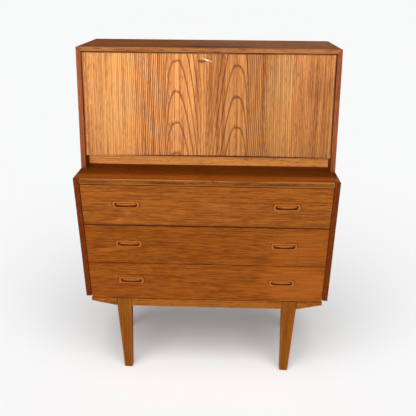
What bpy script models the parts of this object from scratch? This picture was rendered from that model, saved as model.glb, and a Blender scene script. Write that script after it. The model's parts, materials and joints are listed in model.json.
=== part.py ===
"""Secretary desk: a fall-front cabinet standing on a chest of three drawers, carried by four tapered legs.

Metres, +Z up. The origin is on the floor under the middle of the desk, the front faces -Y, and left is -X.
The chest's front leans back towards its foot, and its drawers slide out level. Everything is shown closed, with
the key in its lock and the bolt drawn back.
"""

import math

import bmesh
import bpy
from mathutils import Matrix, Vector

# --- overall sizes ---------------------------------------------------------------------------------------------
WIDTH = 0.820
DEPTH = 0.444
LEDGE_HEIGHT = 0.725  # floor to the chest's top
CABINET_HEIGHT = 0.387  # chest's top to the cabinet's top
LEDGE_DEPTH = 0.121  # how far the chest stands out in front of the cabinet
CHEST_UNDERSIDE = 0.275  # floor to the lower edges of the chest's sides
LEAN = math.radians(13.63)  # the chest's front, away from upright

# --- fits ------------------------------------------------------------------------------------------------------
TOUCH = 0.0003  # between two pieces that touch
EASE = 0.0008  # chamfer that takes the sharpness off a board's edges
THROUGH = 0.005  # how far a cutter runs past the face that it opens

# --- boards ----------------------------------------------------------------------------------------------------
CHEST_SIDE = 0.017
CABINET_SIDE = 0.015
CABINET_TOP = 0.013
LEDGE_BOARD = 0.020
CHEST_BOTTOM = 0.015
CABINET_FLOOR = 0.015
BACK_PANEL = 0.005
BACK_INSET = 0.006  # back panels, in from the back edges of the sides
PLINTH_BOARD = 0.018
PLINTH_HEIGHT = 0.038  # from the ledge to the underside of the cabinet's floor
PLINTH_RECESS = 0.058  # behind the cabinet's front edges

# --- pigeonholes -----------------------------------------------------------------------------------------------
FITMENT_BOARD = 0.010
SHELF_ABOVE_FLOOR = 0.167
SHELF_DEPTH = 0.205
DIVIDER_SETBACK = 0.010  # divider's front edge behind the shelf's
DIVIDER_OFFSET = 0.130  # from the middle of the desk

# --- flap ------------------------------------------------------------------------------------------------------
FLAP_BOARD = 0.018
FLAP_INSET = 0.002  # behind the cabinet's front edges
FLAP_SIDE_GAP = 0.0025
FLAP_TOP_GAP = 0.0025
PIVOT_DEPTH = 0.005  # hinge line under the flap's inner face, and below the cabinet's floor when open
FLAP_BELOW_PIVOT = 0.005
FLAP_FLOOR_GAP = 0.0024  # closed flap's inner face to the floor's front edge
PIVOT_PIN_RADIUS = 0.003
PIVOT_PIN_CLEARANCE = 0.0003
PIVOT_PIN_REACH = 0.008  # into the cabinet's side
PIVOT_PLATE = 0.002
PIVOT_PLATE_HEIGHT = 0.040
PIVOT_PLATE_WIDTH = 0.011

# --- lock ------------------------------------------------------------------------------------------------------
LOCK_OFFSET = -0.004  # from the middle of the desk
KEY_BELOW_FLAP_TOP = 0.018
KEY_TILT = math.radians(18.3)  # key's bow, clockwise from level as seen from the front
KEYHOLE_RADIUS = 0.0032
KEYHOLE_SLOT = (0.0030, 0.0085)  # width, and length below the round hole's middle
LOCK_CASE = (0.060, 0.0115, 0.040)  # width, thickness, height
LOCK_WALL = 0.0012
BIT_CHAMBER = (0.009, 0.0038)  # radius and depth of the room that the key's bit turns in
BOLT = (0.028, 0.0043, 0.014)  # width, thickness, height
BOLT_DROP = 0.0003  # drawn-back bolt's end below the flap's top edge
BOLT_CLEARANCE = 0.0003
STRIKE = (0.040, 0.014, 0.0015)  # width, depth, thickness
STRIKE_MORTISE = 0.009  # depth of the bolt's hole in the cabinet's top
KEY_SHANK_RADIUS = 0.0020
KEY_SHANK_OUT = 0.009  # bare shank in front of the flap
KEY_BOW = (0.0170, 0.0100, 0.0024)  # half width, half length, thickness
KEY_BOW_HOLE = (0.0105, 0.0050)  # half width, half length
KEY_BIT = (0.0065, 0.0028, 0.0022)  # reach from the shank's middle, length along it, thickness

# --- stays -----------------------------------------------------------------------------------------------------
STAY_PIN_RISE = 0.505  # pin's height above the hinge line, as a share of the depth from that line to the back
STAY_PIN_IN = 0.008  # stay's pin behind the flap's inner face
STAY_GUIDE_ANGLE = math.radians(46.0)  # hinge line to guide, from upright
STAY_ARM = (0.0025, 0.0100)  # thickness, height
STAY_FROM_SIDE = 0.010  # arm's middle from the cabinet's side
STAY_PIN_RADIUS = 0.0025
STAY_CLEARANCE = 0.0004
STAY_STOP_RADIUS = 0.0025
STAY_STOP_REACH = 0.0030
GUIDE_HALF_LENGTH = 0.009
GUIDE_HALF_HEIGHT = 0.008
GUIDE_WALL = 0.0021
GUIDE_STUD_RADIUS = 0.003
GUIDE_STUD_REACH = 0.007  # into the cabinet's side
BRACKET_PLATE = (0.022, 0.002, 0.024)  # width, thickness, height
BRACKET_EAR = 0.0025
BRACKET_EAR_CLEARANCE = 0.0012  # ear to arm

# --- drawers ---------------------------------------------------------------------------------------------------
DRAWER_COUNT = 3
DRAWER_GAP = 0.002
DRAWER_SIDE_GAP = 0.002  # front to the chest's side
DRAWER_FRONT = 0.018
DRAWER_INSET = 0.0015  # behind the chest's front edges
FRONT_OVERHANG = 0.006  # lowest front below the sides' lower edges
BOX_SIDE = 0.012
BOX_BACK = 0.010
BOX_BOTTOM = 0.004
BOX_FROM_SIDE = 0.006  # box to the chest's side
BOX_BELOW_FRONT_TOP = 0.012
BOX_ABOVE_FRONT_BOTTOM = 0.025
BOX_BEHIND = 0.008  # box's back end to the chest's back panel
BOTTOM_UP = 0.006  # bottom panel above the box's lower edge
BOTTOM_GROOVE = 0.005
RUNNER_HEIGHT = 0.014
RUNNER_REACH = 0.0112
RUNNER_CLEARANCE = 0.0005
RUNNER_START = 0.030  # runner's front end behind the drawer front
GROOVE_START = 0.020  # groove's front end behind the drawer front

# --- drawer pulls ----------------------------------------------------------------------------------------------
PULL_SIZE = (0.086, 0.024)  # along the drawer and up its face
PULL_CORNER = 0.008
PULL_PROUD = 0.0015
PULL_DEPTH = 0.0145  # let into the drawer front
PULL_FROM_END = 0.139  # pull's middle from the end of the drawer front
PULL_RAISE = 0.004  # pull's middle above the middle of the drawer front
PULL_END = 0.0070  # solid at each end of the opening under the lip
PULL_SILL = 0.0035  # solid under the opening
PULL_SLOT_HEIGHT = 0.0080
PULL_HOLLOW_DEPTH = 0.012
PULL_HEAD = 0.0060  # solid above the finger room behind the lip
PULL_LIP = 0.0050  # thickness of the lip
CORNER_STEPS = 5
ALMOST = 0.98  # a round end's share of a half circle, which keeps a short flat between its two corners

# --- base ------------------------------------------------------------------------------------------------------
APRON_BOARD = 0.020
APRON_HEIGHT = 0.027
APRON_END = 0.010  # apron's height where it runs out under the chest's side
APRON_SETBACK = 0.0010  # behind the lowest edge of the drawer fronts
LAP = 0.010  # half of the apron, gripped by the leg's fork
LEG_TOP = (0.050, 0.045)  # width and depth
LEG_FOOT = (0.028, 0.026)
LEG_FROM_SIDE = 0.103  # front leg's outer face from the side of the desk, at the top
REAR_LEG_OUTBOARD = 0.044  # rear legs further out than the front ones
REAR_LEG_INSET = 0.019  # rear legs' back faces in from the back of the desk
FOOT_OUTBOARD = 0.0015  # foot's inner face further out than the leg's at the top
FOOT_SETBACK = 0.002
LEG_CORNER = 0.006
FOOT_EASE = 0.0015

# --- places that follow from them ------------------------------------------------------------------------------
FRONT = -DEPTH / 2
BACK_INSIDE = DEPTH / 2 - BACK_INSET - BACK_PANEL
TOTAL_HEIGHT = LEDGE_HEIGHT + CABINET_HEIGHT
CHEST_INNER = WIDTH / 2 - CHEST_SIDE
CABINET_INNER = WIDTH / 2 - CABINET_SIDE
CABINET_FRONT = FRONT + LEDGE_DEPTH
FLOOR_BOTTOM = LEDGE_HEIGHT + PLINTH_HEIGHT
FLOOR_TOP = FLOOR_BOTTOM + CABINET_FLOOR
CEILING = TOTAL_HEIGHT - CABINET_TOP
SLOPE = math.tan(LEAN)
LEVEL_FRONT = DRAWER_FRONT / math.cos(LEAN)  # drawer front, measured level

FLAP_FRONT = CABINET_FRONT + FLAP_INSET
FLAP_BACK = FLAP_FRONT + FLAP_BOARD
FLAP_TOP = CEILING - FLAP_TOP_GAP
HINGE = Vector((0, FLAP_BACK - PIVOT_DEPTH, FLOOR_TOP - PIVOT_DEPTH))
FLAP_BOTTOM = HINGE.z - FLAP_BELOW_PIVOT
FLAP_HALF = CABINET_INNER - FLAP_SIDE_GAP
FLOOR_FRONT = FLAP_BACK + FLAP_FLOOR_GAP

SHELF_BOTTOM = FLOOR_TOP + SHELF_ABOVE_FLOOR
SHELF_FRONT = BACK_INSIDE - SHELF_DEPTH

KEY_HEIGHT = FLAP_TOP - KEY_BELOW_FLAP_TOP
LOCK_FRONT = FLAP_BACK - LOCK_CASE[1]
BOLT_FRONT = LOCK_FRONT + LOCK_WALL + BIT_CHAMBER[1]
BOLT_TOP = FLAP_TOP - BOLT_DROP

STAY_X = CABINET_INNER - STAY_FROM_SIDE
STAY_PIN = HINGE + Vector((0, PIVOT_DEPTH + STAY_PIN_IN, STAY_PIN_RISE * (BACK_INSIDE - HINGE.y)))
STAY_RADIUS = (STAY_PIN - HINGE).length
GUIDE = HINGE + STAY_RADIUS * Vector((0, math.sin(STAY_GUIDE_ANGLE), math.cos(STAY_GUIDE_ANGLE)))
STAY_ANGLE = math.atan2(GUIDE.z - STAY_PIN.z, GUIDE.y - STAY_PIN.y)
OPEN_PIN = HINGE + Matrix.Rotation(math.pi / 2, 3, "X") @ (STAY_PIN - HINGE)
STAY_REACH = (GUIDE - OPEN_PIN).length + GUIDE_HALF_LENGTH + STAY_STOP_RADIUS + STAY_CLEARANCE

LOWEST_FRONT = CHEST_UNDERSIDE - FRONT_OVERHANG
DRAWERS_TOP = LEDGE_HEIGHT - LEDGE_BOARD - DRAWER_GAP
DRAWER_PITCH = (DRAWERS_TOP - LOWEST_FRONT + DRAWER_GAP) / DRAWER_COUNT
DRAWER_HEIGHT = DRAWER_PITCH - DRAWER_GAP

SIDES = (("left", -1), ("right", 1))


def front_at(height):
    """Y of the chest's leaning front plane at this height."""
    return FRONT + (LEDGE_HEIGHT - height) * SLOPE


APRON_FRONT = front_at(LOWEST_FRONT) + APRON_SETBACK
APRON_TOP = LOWEST_FRONT - DRAWER_GAP
APRON_BOTTOM = APRON_TOP - APRON_HEIGHT
LEG_TOP_HEIGHT = CHEST_UNDERSIDE - TOUCH
LEG_OUTER = WIDTH / 2 - LEG_FROM_SIDE
LEG_INNER = LEG_OUTER - LEG_TOP[0]


# --- making things ---------------------------------------------------------------------------------------------
def finish(name, colour, roughness, metallic=0.0):
    """A plain material."""
    material = bpy.data.materials.new(name)
    material.use_nodes = True
    shader = material.node_tree.nodes["Principled BSDF"]
    shader.inputs["Base Color"].default_value = (*colour, 1)
    shader.inputs["Roughness"].default_value = roughness
    shader.inputs["Metallic"].default_value = metallic
    material.diffuse_color = (*colour, 1)
    return material


def marker(name, place):
    """An empty that carries a moving group, on its joint's axis."""
    empty = bpy.data.objects.new(name, None)
    bpy.context.scene.collection.objects.link(empty)
    empty.location = place
    return empty


def solid(name, mesh, material=None, parent=None):
    """An object from a bmesh that is drawn in world coordinates, or in its parent's own where it has one."""
    bmesh.ops.recalc_face_normals(mesh, faces=mesh.faces)
    data = bpy.data.meshes.new(name)
    mesh.to_mesh(data)
    mesh.free()
    piece = bpy.data.objects.new(name, data)
    bpy.context.scene.collection.objects.link(piece)
    piece.parent = parent
    if material:
        data.materials.append(material)
    return piece


def ease(piece, width=EASE, limit=30, segments=1):
    """Chamfers the edges that turn by more than limit degrees."""
    bevel = piece.modifiers.new("ease", "BEVEL")
    bevel.width = width
    bevel.segments = segments
    bevel.limit_method = "ANGLE"
    bevel.angle_limit = math.radians(limit)
    return piece


def combine(piece, other, operation):
    """Cuts other from piece, or joins it on, and keeps other as a helper."""
    other.hide_render = True
    other.display_type = "WIRE"
    boolean = piece.modifiers.new(operation.lower(), "BOOLEAN")
    boolean.operation = operation
    boolean.solver = "EXACT"
    boolean.object = other
    return piece


def cut(piece, cutter):
    return combine(piece, cutter, "DIFFERENCE")


def join(piece, other):
    return combine(piece, other, "UNION")


def smooth(piece, angle=35):
    """Shades a round piece smooth, with its edges kept."""
    piece.data.shade_smooth()
    piece.data.set_sharp_from_angle(angle=math.radians(angle))
    return piece


def box_mesh(low, high):
    mesh = bmesh.new()
    low, high = Vector(low), Vector(high)
    bmesh.ops.create_cube(mesh, size=1)
    bmesh.ops.scale(mesh, vec=high - low, verts=mesh.verts)
    bmesh.ops.translate(mesh, vec=(low + high) / 2, verts=mesh.verts)
    return mesh


def box(name, low, high, material=None, parent=None):
    return solid(name, box_mesh(low, high), material, parent)


def board(name, low, high, material, parent=None):
    """A flat board with its edges eased."""
    return ease(box(name, low, high, material, parent))


def prism(name, outline, axis, low, high, material=None, parent=None):
    """An outline in the two other axes, in X, Y, Z order, drawn out along axis from low to high."""
    mesh = bmesh.new()

    def corner(point, along):
        place = list(point)
        place.insert("XYZ".index(axis), along)
        return mesh.verts.new(place)

    face = mesh.faces.new([corner(point, low) for point in outline])
    moved = bmesh.ops.extrude_face_region(mesh, geom=[face])["geom"]
    step = Vector([float(letter == axis) for letter in "XYZ"]) * (high - low)
    bmesh.ops.translate(mesh, vec=step, verts=[item for item in moved if isinstance(item, bmesh.types.BMVert)])
    return solid(name, mesh, material, parent)


def rod(name, axis, radius, start, length, material=None, parent=None, sides=16):
    """A round bar from start, along +axis."""
    mesh = bmesh.new()
    turn = {"X": Matrix.Rotation(math.pi / 2, 4, "Y"), "Y": Matrix.Rotation(-math.pi / 2, 4, "X"), "Z": Matrix()}
    place = Matrix.Translation(start) @ turn[axis] @ Matrix.Translation((0, 0, length / 2))
    bmesh.ops.create_cone(
        mesh, cap_ends=True, segments=sides, radius1=radius, radius2=radius, depth=length, matrix=place
    )
    return smooth(solid(name, mesh, material, parent))


def rounded(width, height, radius, steps=CORNER_STEPS):
    """Outline of a rounded rectangle about the origin."""
    outline = []
    across, up = width / 2 - radius, height / 2 - radius
    for turn, middle in enumerate(((across, up), (-across, up), (-across, -up), (across, -up))):
        for step in range(steps + 1):
            angle = math.pi / 2 * (turn + step / steps)
            outline.append((middle[0] + radius * math.cos(angle), middle[1] + radius * math.sin(angle)))
    return outline


def shifted(outline, across, up):
    return [(x + across, z + up) for x, z in outline]


# --- the cabinet -----------------------------------------------------------------------------------------------
def make_cabinet(teak, secondary):
    """Mitred sides and top, a floor on a set-back plinth, and a back."""
    inside = CABINET_INNER - TOUCH
    mitre = 2 * TOUCH
    for name, way in SIDES:
        outline = [
            (way * CABINET_INNER, LEDGE_HEIGHT + TOUCH),
            (way * WIDTH / 2, LEDGE_HEIGHT + TOUCH),
            (way * WIDTH / 2, TOTAL_HEIGHT),
            (way * CABINET_INNER, CEILING),
        ]
        side = ease(prism(f"cabinet_side_{name}", outline, "Y", CABINET_FRONT, DEPTH / 2, teak))
        for hole, place, radius, reach in (
            ("pivot_hole", HINGE, PIVOT_PIN_RADIUS + PIVOT_PIN_CLEARANCE, PIVOT_PIN_REACH + TOUCH),
            ("guide_hole", GUIDE, GUIDE_STUD_RADIUS + PIVOT_PIN_CLEARANCE, GUIDE_STUD_REACH + TOUCH),
        ):
            start = CABINET_INNER - THROUGH if way > 0 else -CABINET_INNER - reach
            cut(side, rod(f"{hole}_{name}", "X", radius, (start, place.y, place.z), reach + THROUGH))
    half = WIDTH / 2 - mitre
    top = ease(
        prism(
            "cabinet_top",
            [
                (-half, TOTAL_HEIGHT),
                (half, TOTAL_HEIGHT),
                (CABINET_INNER - mitre, CEILING),
                (-CABINET_INNER + mitre, CEILING),
            ],
            "Y",
            CABINET_FRONT,
            DEPTH / 2,
            teak,
        )
    )
    cut_strike(top)
    board("cabinet_floor", (-inside, FLOOR_FRONT, FLOOR_BOTTOM), (inside, BACK_INSIDE - TOUCH, FLOOR_TOP), teak)
    board(
        "cabinet_plinth",
        (-inside, CABINET_FRONT + PLINTH_RECESS, LEDGE_HEIGHT + TOUCH),
        (inside, CABINET_FRONT + PLINTH_RECESS + PLINTH_BOARD, FLOOR_BOTTOM - TOUCH),
        teak,
    )
    board(
        "cabinet_back",
        (-inside, BACK_INSIDE, LEDGE_HEIGHT + TOUCH),
        (inside, BACK_INSIDE + BACK_PANEL, CEILING - TOUCH),
        secondary,
    )


def cut_strike(top):
    """The recess for the strike plate and the bolt's mortise above it, in the underside of the cabinet's top."""
    middle = BOLT_FRONT + BOLT[1] / 2
    half_width = STRIKE[0] / 2 + TOUCH
    half_depth = STRIKE[1] / 2 + TOUCH
    cut(
        top,
        box(
            "strike_recess",
            (LOCK_OFFSET - half_width, middle - half_depth, CEILING - THROUGH),
            (LOCK_OFFSET + half_width, middle + half_depth, CEILING + STRIKE[2] + TOUCH),
        ),
    )
    cut(top, bolt_room("strike_mortise", 2 * BOLT_CLEARANCE, CEILING - THROUGH, CEILING + STRIKE_MORTISE))


def bolt_room(name, clearance, low, high):
    """A cutter round the bolt's path."""
    half_width = BOLT[0] / 2 + clearance
    return box(
        name,
        (LOCK_OFFSET - half_width, BOLT_FRONT - clearance, low),
        (LOCK_OFFSET + half_width, BOLT_FRONT + BOLT[1] + clearance, high),
    )


def make_pigeonholes(teak):
    inside = CABINET_INNER - TOUCH
    rear = BACK_INSIDE - TOUCH
    board(
        "pigeonhole_shelf",
        (-inside, SHELF_FRONT, SHELF_BOTTOM),
        (inside, rear, SHELF_BOTTOM + FITMENT_BOARD),
        teak,
    )
    for name, way in SIDES:
        middle = way * DIVIDER_OFFSET
        board(
            f"pigeonhole_divider_{name}",
            (middle - FITMENT_BOARD / 2, SHELF_FRONT + DIVIDER_SETBACK, FLOOR_TOP + TOUCH),
            (middle + FITMENT_BOARD / 2, rear, SHELF_BOTTOM - TOUCH),
            teak,
        )


# --- the flap, with its pivots, stays and lock -----------------------------------------------------------------
def make_flap(teak, brass, steel):
    """Drawn from the hinge line, which the flap turns about."""
    flap = marker("flap_axis", HINGE)
    front, back = FLAP_FRONT - HINGE.y, FLAP_BACK - HINGE.y
    low, high = FLAP_BOTTOM - HINGE.z, FLAP_TOP - HINGE.z
    panel = board("flap_panel", (-FLAP_HALF, front, low), (FLAP_HALF, back, high), teak, flap)
    for name, way in SIDES:
        make_pivot(name, way, panel, flap, steel)
        make_stay(name, way, flap, brass)
    make_lock(panel, flap, brass, steel)


def make_pivot(name, way, panel, flap, steel):
    """A plate let into the flap's end, with the pin that turns in the cabinet's side."""
    middle = PIVOT_DEPTH - PIVOT_PLATE_WIDTH / 2 - TOUCH * 4
    low = EASE - FLAP_BELOW_PIVOT + TOUCH

    def between(inner, outer, grow):
        ends = sorted((way * inner, way * outer))
        half = PIVOT_PLATE_WIDTH / 2 + grow
        return (ends[0], middle - half, low - grow), (ends[1], middle + half, low + PIVOT_PLATE_HEIGHT + grow)

    pocket = between(FLAP_HALF - PIVOT_PLATE - TOUCH, FLAP_HALF + THROUGH, TOUCH)
    cut(panel, box(f"pivot_pocket_{name}", *pocket, parent=flap))
    plate = box(f"flap_pivot_{name}", *between(FLAP_HALF - PIVOT_PLATE, FLAP_HALF, 0), steel, flap)
    length = PIVOT_PLATE / 2 + FLAP_SIDE_GAP + PIVOT_PIN_REACH
    start = FLAP_HALF - PIVOT_PLATE / 2 if way > 0 else -FLAP_HALF + PIVOT_PLATE / 2 - length
    join(plate, rod(f"pivot_pin_{name}", "X", PIVOT_PIN_RADIUS, (start, 0, 0), length, parent=flap))


def make_stay(name, way, flap, brass):
    """A bracket on the flap, the arm that hangs on its pin, and the swivelling guide that the arm slides in.

    Pin and guide are equally far from the hinge line, so arm and guide turn by half of the flap's angle.
    """
    pin = STAY_PIN - HINGE
    inner = STAY_X - STAY_ARM[0] / 2 - BRACKET_EAR_CLEARANCE - BRACKET_EAR
    width, thickness, height = BRACKET_PLATE
    face = FLAP_BACK - HINGE.y + TOUCH

    def across(near, far):
        return sorted((way * near, way * far))

    plate_x = across(inner + BRACKET_EAR - width, inner + BRACKET_EAR)
    bracket = box(
        f"stay_bracket_{name}",
        (plate_x[0], face, pin.z - height / 2),
        (plate_x[1], face + thickness, pin.z + height / 2),
        brass,
        flap,
    )
    ear_x = across(inner, inner + BRACKET_EAR)
    ear_half = STAY_PIN_RADIUS * 2
    ear = ((ear_x[0], face, pin.z - ear_half), (ear_x[1], pin.y + ear_half, pin.z + ear_half))
    join(bracket, box(f"bracket_ear_{name}", *ear, parent=flap))
    pin_length = BRACKET_EAR / 2 + BRACKET_EAR_CLEARANCE + STAY_ARM[0] + STAY_STOP_REACH
    pin_x = across(inner + BRACKET_EAR / 2, inner + BRACKET_EAR / 2 + pin_length)
    join(
        bracket,
        rod(f"bracket_pin_{name}", "X", STAY_PIN_RADIUS, (pin_x[0], pin.y, pin.z), pin_length, parent=flap),
    )

    swivel = marker(f"stay_arm_axis_{name}", pin + Vector((way * STAY_X, 0, 0)))
    swivel.parent = flap
    swivel.rotation_euler.x = STAY_ANGLE
    half_thick, half_high = STAY_ARM[0] / 2, STAY_ARM[1] / 2
    length = STAY_REACH + STAY_ARM[1]
    bar = shifted(rounded(length, STAY_ARM[1], half_high * ALMOST), STAY_REACH / 2, 0)
    arm = smooth(prism(f"stay_arm_{name}", bar, "X", -half_thick, half_thick, brass, swivel))
    eye = rod(
        f"stay_eye_{name}",
        "X",
        STAY_PIN_RADIUS + STAY_CLEARANCE,
        (-THROUGH, 0, 0),
        2 * THROUGH,
        parent=swivel,
    )
    cut(arm, eye)
    stop_length = STAY_ARM[0] + 2 * STAY_STOP_REACH
    stop_start = (-stop_length / 2, STAY_REACH, 0)
    join(arm, rod(f"stay_stop_{name}", "X", STAY_STOP_RADIUS, stop_start, stop_length, parent=swivel))

    turn = marker(f"stay_guide_axis_{name}", GUIDE + Vector((way * STAY_X, 0, 0)))
    turn.rotation_euler.x = STAY_ANGLE
    room = half_thick + STAY_CLEARANCE
    outer = room + GUIDE_WALL
    guide = box(
        f"stay_guide_{name}",
        (-outer, -GUIDE_HALF_LENGTH, -GUIDE_HALF_HEIGHT),
        (outer, GUIDE_HALF_LENGTH, GUIDE_HALF_HEIGHT),
        brass,
        turn,
    )
    slot = half_high + STAY_CLEARANCE
    reach = GUIDE_HALF_LENGTH + THROUGH
    cut(guide, box(f"guide_slot_{name}", (-room, -reach, -slot), (room, reach, slot), parent=turn))
    stud_length = STAY_FROM_SIDE + GUIDE_STUD_REACH - outer + GUIDE_WALL / 2
    stud_x = across(outer - GUIDE_WALL / 2, outer - GUIDE_WALL / 2 + stud_length)
    join(guide, rod(f"guide_stud_{name}", "X", GUIDE_STUD_RADIUS, (stud_x[0], 0, 0), stud_length, parent=turn))


def make_lock(panel, flap, brass, steel):
    """A lock let into the flap from inside, its bolt, the strike above it, and the key."""
    width, thickness, height = LOCK_CASE
    low = Vector((LOCK_OFFSET - width / 2, LOCK_FRONT, FLAP_TOP - height)) - HINGE
    high = Vector((LOCK_OFFSET + width / 2, FLAP_BACK, FLAP_TOP)) - HINGE
    grow = Vector((TOUCH, TOUCH, TOUCH))
    cut(panel, box("lock_mortise", low - grow, high + Vector((TOUCH, THROUGH, THROUGH)), parent=flap))
    axis = Vector((LOCK_OFFSET, LOCK_FRONT, KEY_HEIGHT)) - HINGE

    case = box("lock_case", low, high, steel, flap)
    channel = bolt_room("bolt_channel", BOLT_CLEARANCE, BOLT_TOP - BOLT[2] - BOLT_CLEARANCE, FLAP_TOP + THROUGH)
    radius, depth = BIT_CHAMBER
    chamber_start = axis + Vector((0, LOCK_WALL, 0))
    cut(case, channel)
    cut(case, rod("bit_chamber", "Y", radius, chamber_start, depth + BOLT[1] / 2, parent=flap, sides=24))
    through = Vector((0, FLAP_FRONT - LOCK_FRONT - THROUGH, 0))
    keyhole = ("Y", KEYHOLE_RADIUS, axis + through, THROUGH - through.y + LOCK_WALL)
    cut(case, rod("case_keyhole", *keyhole, parent=flap))
    cut(panel, rod("panel_keyhole", *keyhole, parent=flap))
    slot_width, slot_length = KEYHOLE_SLOT
    slot = (
        axis + through - Vector((slot_width / 2, 0, slot_length)),
        axis + Vector((slot_width / 2, THROUGH, 0)),
    )
    cut(panel, box("keyhole_slot", *slot, parent=flap))

    bolt_axis = marker("bolt_axis", Vector((LOCK_OFFSET, BOLT_FRONT, BOLT_TOP)) - HINGE)
    bolt_axis.parent = flap
    box("lock_bolt", (-BOLT[0] / 2, 0, -BOLT[2]), (BOLT[0] / 2, BOLT[1], 0), brass, bolt_axis)

    middle = BOLT_FRONT + BOLT[1] / 2
    strike = box(
        "strike_plate",
        (LOCK_OFFSET - STRIKE[0] / 2, middle - STRIKE[1] / 2, CEILING),
        (LOCK_OFFSET + STRIKE[0] / 2, middle + STRIKE[1] / 2, CEILING + STRIKE[2]),
        brass,
    )
    cut(strike, bolt_room("strike_slot", 2 * BOLT_CLEARANCE, CEILING - THROUGH, CEILING + THROUGH))
    make_key(axis, flap, brass)


def make_key(axis, flap, brass):
    """The shank runs along Y from the flap's front face, with a ring bow outside and the bit inside the lock."""
    turn = marker("key_axis", axis)
    turn.parent = flap
    turn.rotation_euler.y = KEY_TILT
    face = FLAP_FRONT - LOCK_FRONT
    bow_middle = face - KEY_SHANK_OUT - KEY_BOW[1]
    tip = LOCK_WALL + BIT_CHAMBER[1] - 2 * BOLT_CLEARANCE
    start = bow_middle + KEY_BOW_HOLE[1] + (KEY_BOW[1] - KEY_BOW_HOLE[1]) / 2
    key = rod("key", "Y", KEY_SHANK_RADIUS, (0, start, 0), tip - start, brass, turn, sides=12)

    def oval(half_width, half_length):
        count = 24
        return [
            (half_width * math.cos(math.tau * i / count), bow_middle + half_length * math.sin(math.tau * i / count))
            for i in range(count)
        ]

    half = KEY_BOW[2] / 2
    bow = prism("key_bow", oval(*KEY_BOW[:2]), "Z", -half, half, parent=turn)
    cut(bow, prism("key_bow_hole", oval(*KEY_BOW_HOLE), "Z", -THROUGH, THROUGH, parent=turn))
    join(key, bow)
    reach, length, thickness = KEY_BIT
    bit = ((0, tip - length, -thickness / 2), (reach, tip - BOLT_CLEARANCE, thickness / 2))
    join(key, box("key_bit", *bit, parent=turn))


# --- the chest -------------------------------------------------------------------------------------------------
def make_chest(teak, secondary):
    inside = CHEST_INNER - TOUCH
    for name, way in SIDES:
        outline = [
            (FRONT, LEDGE_HEIGHT),
            (DEPTH / 2, LEDGE_HEIGHT),
            (DEPTH / 2, CHEST_UNDERSIDE),
            (front_at(CHEST_UNDERSIDE), CHEST_UNDERSIDE),
        ]
        ends = sorted((way * CHEST_INNER, way * WIDTH / 2))
        ease(prism(f"chest_side_{name}", outline, "X", *ends, teak))
    ledge_bottom = LEDGE_HEIGHT - LEDGE_BOARD
    ledge = [
        (FRONT, LEDGE_HEIGHT),
        (BACK_INSIDE - TOUCH, LEDGE_HEIGHT),
        (BACK_INSIDE - TOUCH, ledge_bottom),
        (front_at(ledge_bottom), ledge_bottom),
    ]
    ease(prism("ledge_board", ledge, "X", -inside, inside, teak))
    bottom_top = CHEST_UNDERSIDE + CHEST_BOTTOM
    bottom_front = front_at(CHEST_UNDERSIDE) + DRAWER_INSET + LEVEL_FRONT + DRAWER_GAP
    board(
        "chest_bottom",
        (-inside, bottom_front, CHEST_UNDERSIDE),
        (inside, BACK_INSIDE - TOUCH, bottom_top),
        secondary,
    )
    board(
        "chest_back",
        (-inside, BACK_INSIDE, CHEST_UNDERSIDE),
        (inside, BACK_INSIDE + BACK_PANEL, LEDGE_HEIGHT - TOUCH),
        secondary,
    )


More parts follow.
